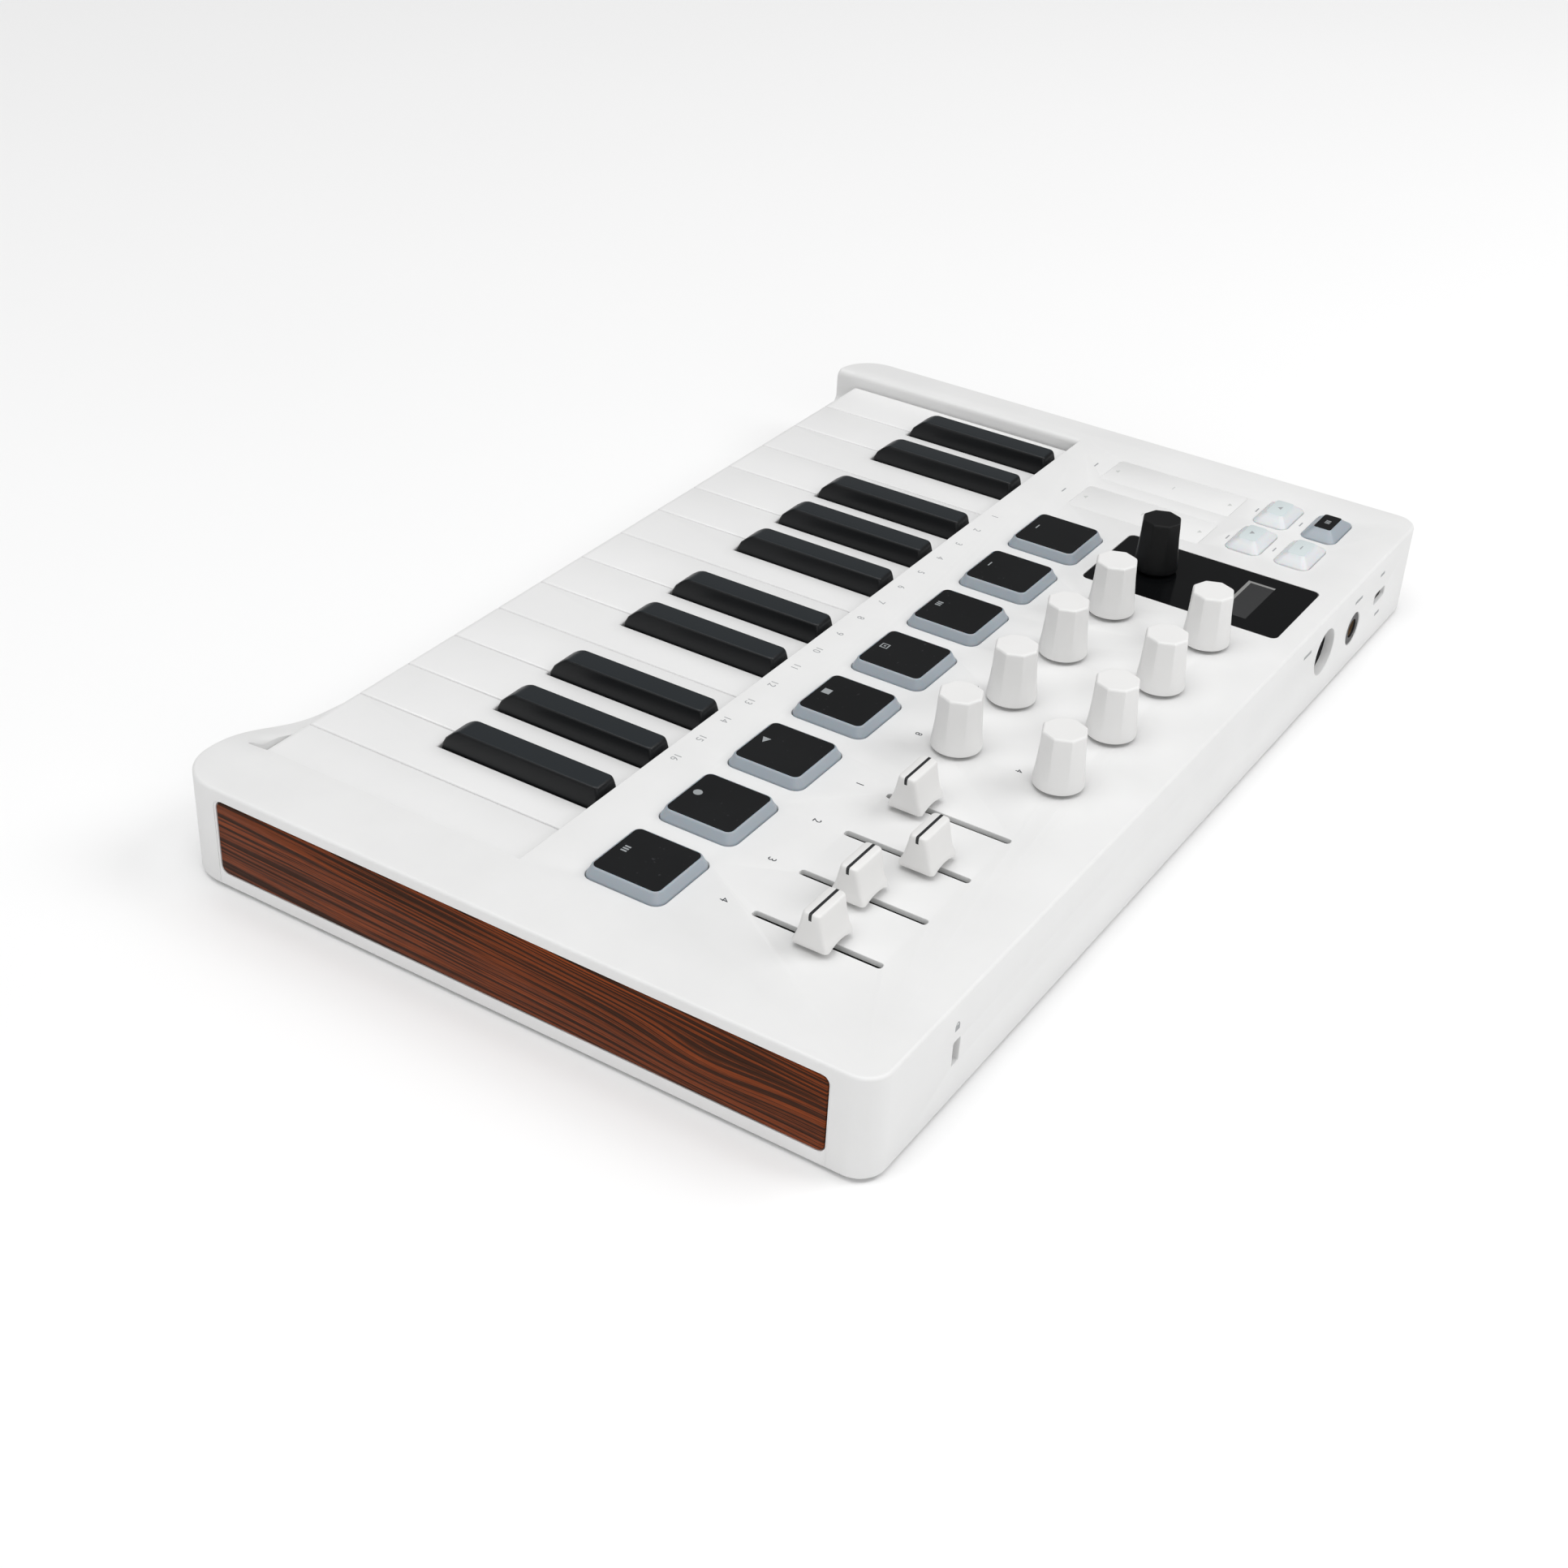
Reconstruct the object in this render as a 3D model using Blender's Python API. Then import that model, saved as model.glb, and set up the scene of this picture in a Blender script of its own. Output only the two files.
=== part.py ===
"""Twenty-five key desktop controller: case, keybed, pads, encoders, faders, buttons and boards.

Row frame in metres: +X to the player's right, +Y to the back, +Z up, origin at the
bottom centre of the bounding box, on the plane that the feet stand on.
"""
import math

import bmesh
import bpy

NAME = "key_controller"

# Case
WIDTH, DEPTH = 0.355, 0.220
CASE_TOP = 0.0319
SEAM_Z, SEAM_GAP = 0.0040, 0.0003
BASE_Z = 0.0012
FRONT_CORNER, REAR_CORNER = 0.0140, 0.0075
TOP_EDGE, FOOT_EDGE = 0.0010, 0.0004
PLATE_INSET = 0.0025
SKIN = 0.0025
SIDE_WALL = 0.0040
REAR_WALL = 0.0030
CORNER_STEPS = 6

# Opening the keys sit in
WELL_LEFT, WELL_RIGHT = -0.1621, 0.1546
WELL_FRONT, WELL_REAR = -0.1036, -0.0103
WELL_EDGE, WELL_RIGHT_EDGE = 0.0022, 0.15
LIP_Z = 0.0192
LIP_RAMP, LIP_RAMP_RISE = (0.0970, 0.1270), 0.0023
LIP_SCOOP = (0.1185, 0.1620)
LIP_RUNOUT = 0.0120
LIP_FILLET = 0.0045

# Keys
PITCH = 0.02102
KEY_GAP = 0.0006
KEYS_LEFT = -0.1616
KEY_TOP, KEY_BOTTOM = 0.0272, 0.0175
KEY_FRONT, KEY_REAR = -0.1029, -0.0025
KEY_NOSE = 0.0024
KEY_EDGE = 0.0005
KEY_SKIN = 0.0016
SHARP_FRONT, SHARP_REAR = -0.0651, -0.0112
SHARP_TOP = 0.0335
SHARP_HALF = 0.0048
SHARP_GAP = 0.0005
SHARP_SHIFT = {1: -0.0020, 2: 0.0020, 4: -0.0035, 5: 0.0, 6: 0.0035}
WHITE_COUNT = 15
HINGE_Y, HINGE_Z = -0.0060, 0.0205
HINGE_ROD, HINGE_PLAY = 0.0015, 0.0001

# Keybed chassis and contact board
FRAME_Z = (0.0080, 0.0096)
FRAME_Y = (-0.0980, -0.0010)
FRAME_X = (-0.1610, 0.1536)
WEB_HALF = 0.0006
CONTACT_BOARD = ((-0.1500, -0.0600, 0.0099), (0.1430, -0.0250, 0.0114))

# Control grid shared by pads and encoders
GRID = 0.0324
GRID_RIGHT = 0.1393
PAD_Y = 0.0189
PAD_BASE, PAD_CREST, PAD_CORNER = 0.0240, 0.0209, 0.0030
PAD_FOOT, PAD_TOP = 0.0277, 0.0349
KNOB_X = 0.0411
KNOB_ROWS = (0.0539, 0.0857)
KNOB_FOOT, KNOB_TOP = 0.0331, 0.0500
KNOB_BASE_R, KNOB_CREST_R = 0.0073, 0.0066
SHAFT_R, SHAFT_HOLE_R, SHAFT_FOOT = 0.0030, 0.0037, 0.0258
BROWSE_X, BROWSE_Y = -0.0903, 0.0530
BROWSE_SCALE = 0.97
BROWSE_BORE_TOP = 0.0405

# Faders
FADER_X, FADER_PITCH = 0.1385, 0.02185
FADER_SLOT = (0.0506, 0.0881)
FADER_SLOT_WIDTH = 0.0023
FADER_LINES = (0.0592, 0.0753, 0.0680, 0.0708)
CAP_FOOT, CAP_TOP = 0.0335, 0.0439
CAP_WIDTH = 0.0131
STEM_SIZE = (0.0013, 0.0046)
STEM_FOOT = 0.0266

# Buttons
BUTTON_X, BUTTON_Y = (-0.1508, -0.1280), (0.0700, 0.0870)
BUTTON_SIZE, BUTTON_CORNER = (0.0190, 0.0116), 0.0022
BUTTON_CREST, BUTTON_CREST_CORNER = (0.0108, 0.0056), 0.0012
BUTTON_FOOT, BUTTON_TOP = 0.0285, 0.0349
OPENING_PLAY = 0.0003

# Display panel and touch strips
PANEL = ((-0.1078, 0.0364), (-0.0716, 0.1020))
PANEL_THICK, PANEL_CORNER = 0.0012, 0.0020
STRIP_X, STRIP_Y, STRIP_WIDTH = (-0.1483, -0.1236), (0.0090, 0.0565), 0.0175
STRIP_DEPTH = 0.0004

# Boards and sockets
BOARD_Z = (0.0224, 0.0240)
BOARD = ((-0.1680, 0.0020), (0.1600, 0.1040))
BOARD_NOTCH = ((-0.1700, 0.0915), (-0.0800, 0.1060))
SOCKET_BOARD = ((-0.1560, 0.0860, 0.0068), (-0.0840, 0.1064, 0.0083))
DIN_X, DIN_Z, DIN_R, DIN_BORE = -0.0978, 0.0181, 0.0074, 0.0064
JACK_X, JACK_Z, JACK_R, JACK_BORE = -0.1233, 0.0150, 0.0053, 0.0032
PORT_X, PORT_Z, PORT_SIZE = -0.1463, 0.0172, (0.0092, 0.0034)
LOCK_X, LOCK_Z, LOCK_SIZE = 0.1384, 0.0160, (0.0036, 0.0074)
SOCKET_FACE = 0.1097

# Wooden cheeks
WOOD_Y, WOOD_Z = (-0.0939, 0.0971), (0.0053, 0.0280)
WOOD_THICK, WOOD_CORNER, WOOD_RECESS = 0.0016, 0.0020, 0.0021

# Feet and ribs of the base
FEET = ((-0.155, -0.092), (0.155, -0.092), (-0.155, 0.092), (0.155, 0.092))
FOOT_R = 0.0070
RIB_X = (-0.150, -0.075, 0.0, 0.075, 0.143)
EPS = 0.0005
FAR = 0.0100


def clear_scene():
    for obj in list(bpy.data.objects):
        bpy.data.objects.remove(obj, do_unlink=True)


def make_collections():
    part = bpy.data.collections.new(NAME)
    cutters = bpy.data.collections.new("cutters")
    bpy.context.scene.collection.children.link(part)
    bpy.context.scene.collection.children.link(cutters)
    return part, cutters


def material(name, colour, roughness, metallic=0.0):
    mat = bpy.data.materials.new(name)
    mat.use_nodes = True
    shader = mat.node_tree.nodes["Principled BSDF"]
    shader.inputs["Base Color"].default_value = (*colour, 1.0)
    shader.inputs["Roughness"].default_value = roughness
    shader.inputs["Metallic"].default_value = metallic
    mat.diffuse_color = (*colour, 1.0)
    return mat


# Outlines

def arc(cx, cy, radius, start, end, steps):
    points = []
    for step in range(steps + 1):
        angle = math.radians(start + (end - start) * step / steps)
        points.append((cx + radius * math.cos(angle), cy + radius * math.sin(angle)))
    return points


def rounded_rect(x0, y0, x1, y1, radii, steps):
    """Outline with one radius per corner, in the order x0y0, x1y0, x1y1, x0y1."""
    a, b, c, d = radii
    points = arc(x0 + a, y0 + a, a, 180, 270, steps)
    points += arc(x1 - b, y0 + b, b, 270, 360, steps)
    points += arc(x1 - c, y1 - c, c, 0, 90, steps)
    points += arc(x0 + d, y1 - d, d, 90, 180, steps)
    return points


def pill(cx, cy, width, depth, radius, steps=2):
    x, y = width / 2, depth / 2
    return rounded_rect(cx - x, cy - y, cx + x, cy + y, (radius,) * 4, steps)


def circle(cx, cy, radius, count):
    return arc(cx, cy, radius, 0, 360 - 360 / count, count - 1)


# Solids

def loft_into(bm, rings):
    """Closed skin through rings of equal length, each a list of (x, y, z)."""
    loops = [[bm.verts.new(point) for point in ring] for ring in rings]
    count = len(loops[0])
    for low, high in zip(loops, loops[1:]):
        for i in range(count):
            j = (i + 1) % count
            bm.faces.new((low[i], low[j], high[j], high[i]))
    bm.faces.new(loops[0][::-1])
    bm.faces.new(loops[-1])


def flat(outline, z):
    return [(x, y, z) for x, y in outline]


def prism_into(bm, outline, low, high, axis="Z"):
    """Outline extruded along Z, or along X (outline is y, z), or along Y (outline is x, z)."""
    place = {
        "Z": lambda p, t: (p[0], p[1], t),
        "X": lambda p, t: (t, p[0], p[1]),
        "Y": lambda p, t: (p[0], t, p[1]),
    }[axis]
    loft_into(bm, [[place(p, low) for p in outline], [place(p, high) for p in outline]])


def box_into(bm, low, high):
    outline = [(low[0], low[1]), (high[0], low[1]), (high[0], high[1]), (low[0], high[1])]
    prism_into(bm, outline, low[2], high[2])


def finish(bm, name, collection, mat=None, smooth_angle=None):
    bmesh.ops.recalc_face_normals(bm, faces=bm.faces)
    mesh = bpy.data.meshes.new(name)
    bm.to_mesh(mesh)
    bm.free()
    obj = bpy.data.objects.new(name, mesh)
    collection.objects.link(obj)
    if mat:
        mesh.materials.append(mat)
    if smooth_angle:
        mesh.shade_smooth()
        mesh.set_sharp_from_angle(angle=math.radians(smooth_angle))
    return obj


def add_boolean(obj, tool, operation):
    modifier = obj.modifiers.new(operation.lower() + "_" + tool.name, "BOOLEAN")
    modifier.operation = operation
    modifier.solver = "EXACT"
    modifier.object = tool


def make_tool(bm, name):
    tool = finish(bm, name, CUTTERS)
    tool.hide_render = True
    tool.display_type = "WIRE"
    return tool


def cut(obj, bm, name):
    add_boolean(obj, make_tool(bm, name), "DIFFERENCE")


def join(obj, bm, name):
    add_boolean(obj, make_tool(bm, name), "UNION")


def move_origin(obj, origin):
    for vertex in obj.data.vertices:
        vertex.co.x -= origin[0]
        vertex.co.y -= origin[1]
        vertex.co.z -= origin[2]
    obj.location = origin


# Positions

def pad_x(index):
    return GRID_RIGHT - GRID * (8 - index)


def knob_place(index):
    column = (index - 1) % 4
    row = KNOB_ROWS[1] if index <= 4 else KNOB_ROWS[0]
    return KNOB_X - GRID * (3 - column), row


def fader_x(index):
    return FADER_X - FADER_PITCH * (4 - index)


def case_outline(inset):
    x, y = WIDTH / 2 - inset, DEPTH / 2 - inset
    front, rear = FRONT_CORNER - inset, REAR_CORNER - inset
    return rounded_rect(-x, -y, x, y, (front, front, rear, rear), CORNER_STEPS)


# Case

def top_shell(mat):
    """Outer solid of the upper case with its softened top and bottom edges."""
    bm = bmesh.new()
    rings = [flat(case_outline(FOOT_EDGE), BASE_Z), flat(case_outline(0.0), BASE_Z + FOOT_EDGE)]
    for angle in (0, 45, 90):
        turn = math.radians(angle)
        inset = TOP_EDGE * (1 - math.cos(turn))
        rings.append(flat(case_outline(inset), CASE_TOP - TOP_EDGE * (1 - math.sin(turn))))
    loft_into(bm, rings)
    return finish(bm, "top_case", PART, mat, 30)


def cut_cavities(shell):
    """Rebate for the bottom plate, and hollows behind the keys and inside both cheeks."""
    bm = bmesh.new()
    prism_into(bm, case_outline(PLATE_INSET - SEAM_GAP), BASE_Z - FAR, SEAM_Z)
    cut(shell, bm, "plate_rebate")
    roof = CASE_TOP - SKIN
    side = WIDTH / 2 - SIDE_WALL
    bm = bmesh.new()
    box_into(bm, (-side, WELL_REAR + 0.003, SEAM_Z - FAR), (side, DEPTH / 2 - REAR_WALL, roof))
    cut(shell, bm, "rear_cavity")
    bm = bmesh.new()
    box_into(bm, (WELL_LEFT, WELL_REAR - 0.001, SEAM_Z - FAR), (WELL_RIGHT, WELL_REAR + 0.004, roof))
    cut(shell, bm, "panel_underpass")
    bm = bmesh.new()
    front = -DEPTH / 2 + FRONT_CORNER
    box_into(bm, (-side, front, SEAM_Z - FAR), (WELL_LEFT - SKIN, WELL_REAR, roof))
    box_into(bm, (WELL_RIGHT + SKIN, front, SEAM_Z - FAR), (side, WELL_REAR, roof))
    cut(shell, bm, "cheek_cavities")


def cut_well(shell):
    """Opening for the keys with rounded upper edges."""
    bm = bmesh.new()
    rings = []
    heights = [(0.0, SEAM_Z - FAR)]
    for angle in (0, 30, 60, 90):
        turn = math.radians(angle)
        heights.append((WELL_EDGE * (1 - math.cos(turn)), CASE_TOP - WELL_EDGE * (1 - math.sin(turn))))
    heights.append((WELL_EDGE, CASE_TOP + FAR))
    for spread, z in heights:
        x0, x1 = WELL_LEFT - spread, WELL_RIGHT + spread * WELL_RIGHT_EDGE
        y1 = WELL_REAR + spread * 0.2
        rings.append([(x0, WELL_FRONT, z), (x1, WELL_FRONT, z), (x1, y1, z), (x0, y1, z)])
    loft_into(bm, rings)
    cut(shell, bm, "key_well")


def ease(start, end, x):
    """Smooth step from 0 at start to 1 at end."""
    t = min(1.0, max(0.0, (x - start) / (end - start)))
    return t * t * (3 - 2 * t)


def lip_height(x):
    """Top of the front wall: level, then a gentle ramp, then the scoop up to the right cheek."""
    scoop_rise = CASE_TOP - LIP_Z - LIP_RAMP_RISE
    return LIP_Z + LIP_RAMP_RISE * ease(*LIP_RAMP, x) + scoop_rise * ease(*LIP_SCOOP, x)


def lip_profile():
    """Upper edge of the front wall: tight fillet at the left, long scoop at the right."""
    fillet_x = WELL_LEFT + LIP_FILLET
    points = [(WELL_LEFT - WELL_EDGE, CASE_TOP + FAR), (WELL_LEFT - WELL_EDGE, CASE_TOP)]
    points += [(WELL_LEFT - 0.0006, CASE_TOP - 0.0006), (WELL_LEFT, CASE_TOP - WELL_EDGE)]
    points += arc(fillet_x, LIP_Z + LIP_FILLET, LIP_FILLET, 180, 270, 5)
    steps = 14
    for step in range(steps + 1):
        x = LIP_RAMP[0] + (LIP_SCOOP[1] - LIP_RAMP[0]) * step / steps
        points.append((x, lip_height(x)))
    points.append((LIP_SCOOP[1], CASE_TOP + FAR))
    return points


def lip_slice(y, fade):
    """Section of the lip cutter at y; fade 1 lifts it clear of the cheek's top."""
    clear = CASE_TOP + 0.00002
    left = WELL_LEFT + 0.0005 if fade else -WIDTH
    return [(max(x, left), y, z + max(0.0, clear - z) * fade) for x, z in lip_profile()]


def cut_lip(shell):
    """The lip, whose scoop runs out behind the front wall into the top of the right cheek."""
    bm = bmesh.new()
    inner = WELL_FRONT + 0.0001
    slices = [lip_slice(-DEPTH / 2 - FAR, 0.0), lip_slice(inner, 0.0)]
    steps = 5
    for step in range(1, steps + 1):
        slices.append(lip_slice(inner + LIP_RUNOUT * step / steps, ease(0.0, 1.0, step / steps)))
    loft_into(bm, slices)
    cut(shell, bm, "front_lip")


def cut_panel_openings(shell):
    """Holes and recesses in the control surface."""
    low, high = CASE_TOP - SKIN - 0.001, CASE_TOP + FAR
    bm = bmesh.new()
    for index in range(1, 9):
        size = PAD_BASE + 2 * OPENING_PLAY
        prism_into(bm, pill(pad_x(index), PAD_Y, size, size, PAD_CORNER), low, high)
        x, y = knob_place(index)
        prism_into(bm, circle(x, y, SHAFT_HOLE_R, 16), low, high)
    for index in range(1, 5):
        centre = sum(FADER_SLOT) / 2
        length = FADER_SLOT[1] - FADER_SLOT[0]
        outline = pill(fader_x(index), centre, FADER_SLOT_WIDTH, length, FADER_SLOT_WIDTH * 0.4)
        prism_into(bm, outline, low, high)
    for x in BUTTON_X:
        for y in BUTTON_Y:
            width, depth = (size + 2 * OPENING_PLAY for size in BUTTON_SIZE)
            prism_into(bm, pill(x, y, width, depth, BUTTON_CORNER), low, high)
    (x0, y0), (x1, y1) = PANEL
    play = OPENING_PLAY
    outline = rounded_rect(x0 - play, y0 - play, x1 + play, y1 + play, (PANEL_CORNER,) * 4, 2)
    prism_into(bm, outline, CASE_TOP - PANEL_THICK - play, high)
    for x in STRIP_X:
        centre = sum(STRIP_Y) / 2
        outline = pill(x, centre, STRIP_WIDTH, STRIP_Y[1] - STRIP_Y[0], 0.0012, 1)
        prism_into(bm, outline, CASE_TOP - STRIP_DEPTH, high)
    cut(shell, bm, "panel_openings")
    bm = bmesh.new()
    prism_into(bm, circle(BROWSE_X, BROWSE_Y, SHAFT_HOLE_R, 16), low, high)
    cut(shell, bm, "browse_opening")


def cut_rear_openings(shell):
    """Socket openings and lock slot in the rear wall."""
    low, high = DEPTH / 2 - REAR_WALL - 0.001, DEPTH / 2 + FAR
    bm = bmesh.new()
    prism_into(bm, circle(DIN_X, DIN_Z, DIN_R + OPENING_PLAY, 24), low, high, "Y")
    prism_into(bm, circle(JACK_X, JACK_Z, JACK_R + OPENING_PLAY, 20), low, high, "Y")
    width, height = (size + 2 * OPENING_PLAY for size in PORT_SIZE)
    prism_into(bm, pill(PORT_X, PORT_Z, width, height, height * 0.45), low, high, "Y")
    prism_into(bm, pill(LOCK_X, LOCK_Z, *LOCK_SIZE, 0.0008, 1), low, high, "Y")
    cut(shell, bm, "rear_openings")


def cut_wood_recess(shell, side):
    """Shallow recess in one end wall; side is +1 for the right end, -1 for the left."""
    play = OPENING_PLAY
    outline = rounded_rect(WOOD_Y[0] - play, WOOD_Z[0] - play, WOOD_Y[1] + play, WOOD_Z[1] + play,
                           (WOOD_CORNER,) * 4, 2)
    face = WIDTH / 2
    spans = sorted((side * (face - WOOD_RECESS), side * (face + FAR)))
    bm = bmesh.new()
    prism_into(bm, outline, spans[0], spans[1], "X")
    cut(shell, bm, "wood_recess_right" if side > 0 else "wood_recess_left")


def join_bosses(shell):
    """Posts that hold the control board under the control surface."""
    places = ((-0.165, 0.006), (-0.0083, 0.0045), (0.157, 0.006), (0.157, 0.100), (0.000, 0.100))
    bm = bmesh.new()
    for x, y in places:
        outline = circle(x, y, 0.0018, 10)
        prism_into(bm, outline, BOARD_Z[1] + SEAM_GAP, CASE_TOP - SKIN + 0.001)
    join(shell, bm, "board_bosses")


def build_top_case():
    shell = top_shell(material("case_white", (0.84, 0.84, 0.83), 0.42))
    cut_cavities(shell)
    cut_well(shell)
    cut_lip(shell)
    cut_panel_openings(shell)
    cut_rear_openings(shell)
    cut_wood_recess(shell, 1)
    cut_wood_recess(shell, -1)
    join_bosses(shell)


def build_bottom_case():
    """Inset floor plate with moulded feet, ribs under the keybed and posts under the sockets."""
    top = SEAM_Z - SEAM_GAP
    bm = bmesh.new()
    prism_into(bm, case_outline(PLATE_INSET), BASE_Z, top)
    floor = finish(bm, "bottom_case", PART, material("base_white", (0.78, 0.78, 0.77), 0.5), 30)
    bm = bmesh.new()
    for x, y in FEET:
        prism_into(bm, circle(x, y, FOOT_R, 16), 0.0, BASE_Z + EPS)
    for x in RIB_X:
        box_into(bm, (x - 0.001, -0.096, top - EPS), (x + 0.001, -0.004, FRAME_Z[0] - SEAM_GAP))
    (x0, y0, z0), (x1, y1, _) = SOCKET_BOARD
    for x in (x0 + 0.004, x1 - 0.004):
        box_into(bm, (x - 0.002, y0 + 0.002, top - EPS), (x + 0.002, y1 - 0.002, z0 - SEAM_GAP))
    join(floor, bm, "base_feet_and_ribs")


def build_wood_side(side):
    outline = rounded_rect(WOOD_Y[0], WOOD_Z[0], WOOD_Y[1], WOOD_Z[1], (WOOD_CORNER,) * 4, 2)
    inner = WIDTH / 2 - WOOD_RECESS + SEAM_GAP
    spans = sorted((side * inner, side * (inner + WOOD_THICK)))
    bm = bmesh.new()
    prism_into(bm, outline, spans[0], spans[1], "X")
    name = "wood_side_right" if side > 0 else "wood_side_left"
    finish(bm, name, PART, material(name + "_grain", (0.20, 0.085, 0.045), 0.45))


def build_display_panel():
    (x0, y0), (x1, y1) = PANEL
    bm = bmesh.new()
    outline = rounded_rect(x0, y0, x1, y1, (PANEL_CORNER,) * 4, 3)
    prism_into(bm, outline, CASE_TOP - PANEL_THICK, CASE_TOP)
    panel = finish(bm, "display_panel", PART, material("display_black", (0.012, 0.013, 0.015), 0.08))
    bm = bmesh.new()
    prism_into(bm, circle(BROWSE_X, BROWSE_Y, SHAFT_HOLE_R, 20), 0.0, CASE_TOP + FAR)
    cut(panel, bm, "display_shaft_hole")


# Keybed

def hinge_slot():
    """Arch-shaped channel along X that every key hangs on the rod by."""
    radius = HINGE_ROD + HINGE_PLAY
    outline = arc(HINGE_Y, HINGE_Z, radius, 0, 180, 8)
    outline += [(HINGE_Y - radius, KEY_BOTTOM - FAR), (HINGE_Y + radius, KEY_BOTTOM - FAR)]
    bm = bmesh.new()
    prism_into(bm, outline, KEYS_LEFT - FAR, KEYS_LEFT + WHITE_COUNT * PITCH + FAR, "X")
    return make_tool(bm, "hinge_slot")


def scale_step(index):
    return (index - 1) % 7 + 1


def notch(boundary):
    """Shift of the sharp above the boundary after this scale step, or None where there is none."""
    return SHARP_SHIFT.get(boundary)


def white_outline(index):
    """Plan of one natural key: full width in front, narrowed beside the sharps."""
    left = KEYS_LEFT + (index - 1) * PITCH
    x0, x1 = left + KEY_GAP / 2, left + PITCH - KEY_GAP / 2
    reach = SHARP_HALF + SHARP_GAP
    lower = notch(scale_step(index) - 1)
    upper = notch(scale_step(index)) if index < WHITE_COUNT else None
    shank0 = x0 if lower is None else left + lower + reach
    shank1 = x1 if upper is None else left + PITCH + upper - reach
    step_y = SHARP_FRONT - 0.0008
    points = [(x0, KEY_FRONT), (x1, KEY_FRONT)]
    if upper is not None:
        points += [(x1, step_y), (shank1, step_y)]
    points += [(shank1, KEY_REAR), (shank0, KEY_REAR)]
    if lower is not None:
        points += [(shank0, step_y), (x0, step_y)]
    return points, x0, x1


def soften_white(bm):
    """Round the nose across the front and ease the edges along the top."""
    nose = [e for e in bm.edges if all(v.co.y < KEY_FRONT + EPS and v.co.z > KEY_TOP - EPS for v in e.verts)]
    bmesh.ops.bevel(bm, geom=nose, offset=KEY_NOSE, segments=3, profile=0.5, affect="EDGES")
    rim = [e for e in bm.edges if is_top_rim(e)]
    bmesh.ops.bevel(bm, geom=rim, offset=KEY_EDGE, segments=1, profile=0.5, affect="EDGES")


def is_top_rim(edge):
    if len(edge.link_faces) != 2:
        return False
    level = all(v.co.z > KEY_TOP - EPS / 10 for v in edge.verts)
    along = abs(edge.verts[0].co.x - edge.verts[1].co.x) < EPS / 10
    return level and along


def build_white_key(index, mat, slot):
    outline, x0, x1 = white_outline(index)
    bm = bmesh.new()
    prism_into(bm, outline, KEY_BOTTOM, KEY_TOP)
    bmesh.ops.recalc_face_normals(bm, faces=bm.faces)
    soften_white(bm)
    key = finish(bm, f"white_key_{index:02d}", PART, mat, 35)
    bm = bmesh.new()
    low = (x0 + KEY_SKIN, KEY_FRONT + KEY_SKIN, KEY_BOTTOM - FAR)
    high = (x1 - KEY_SKIN, SHARP_FRONT - 0.0008 - KEY_SKIN, KEY_TOP - KEY_SKIN)
    box_into(bm, low, high)
    cut(key, bm, f"white_key_hollow_{index:02d}")
    add_boolean(key, slot, "DIFFERENCE")
    move_origin(key, ((x0 + x1) / 2, HINGE_Y, HINGE_Z))


def sharp_crest(x):
    """Raised, tapered playing surface of one sharp key."""
    rings = []
    sections = (
        (0.0240, 0.0048, 0.0000, 0.0000, 0.0006),
        (0.0280, 0.0047, 0.0002, 0.0001, 0.0008),
        (0.0314, 0.0043, 0.0028, 0.0004, 0.0010),
        (0.0329, 0.0040, 0.0048, 0.0009, 0.0011),
        (SHARP_TOP, 0.0036, 0.0068, 0.0018, 0.0012),
    )
    for z, half, front, rear, corner in sections:
        y0, y1 = SHARP_FRONT + front, SHARP_REAR - rear
        rings.append(flat(rounded_rect(x - half, y0, x + half, y1, (corner,) * 4, 2), z))
    return rings


def build_black_key(number, boundary_index, mat, slot):
    x = KEYS_LEFT + boundary_index * PITCH + SHARP_SHIFT[scale_step(boundary_index)]
    bm = bmesh.new()
    loft_into(bm, sharp_crest(x))
    key = finish(bm, f"black_key_{number:02d}", PART, mat, 40)
    bm = bmesh.new()
    half = SHARP_HALF - 0.0002
    box_into(bm, (x - half, SHARP_FRONT + 0.0003, KEY_BOTTOM), (x + half, KEY_REAR, KEY_TOP - 0.0004))
    join(key, bm, f"black_key_shank_{number:02d}")
    add_boolean(key, slot, "DIFFERENCE")
    move_origin(key, (x, HINGE_Y, HINGE_Z))


def build_keys():
    slot = hinge_slot()
    white = material("key_white", (0.88, 0.88, 0.87), 0.28)
    for index in range(1, WHITE_COUNT + 1):
        build_white_key(index, white, slot)
    black = material("key_black", (0.012, 0.014, 0.020), 0.35)
    boundaries = [i for i in range(1, WHITE_COUNT) if scale_step(i) in SHARP_SHIFT]
    for number, boundary_index in enumerate(boundaries, start=1):
        build_black_key(number, boundary_index, black, slot)


def build_key_frame():
    """Chassis plate with the web and rod that the keys hang on."""
    y0, y1 = FRAME_Y
    z0, z1 = FRAME_Z
    neck = math.degrees(math.asin(WEB_HALF / HINGE_ROD))
    outline = [(y0, z0), (y1, z0), (y1, z1), (HINGE_Y + WEB_HALF, z1)]
    outline += arc(HINGE_Y, HINGE_Z, HINGE_ROD, -90 + neck, 270 - neck, 14)
    outline += [(HINGE_Y - WEB_HALF, z1), (y0, z1)]
    bm = bmesh.new()
    prism_into(bm, outline, FRAME_X[0], FRAME_X[1], "X")
    finish(bm, "key_frame", PART, material("frame_steel", (0.55, 0.56, 0.58), 0.35, 1.0), 30)


def build_contact_board():
    bm = bmesh.new()
    box_into(bm, *CONTACT_BOARD)
    finish(bm, "key_contact_board", PART, material("contact_board_green", (0.03, 0.16, 0.08), 0.5))


# Controls

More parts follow.
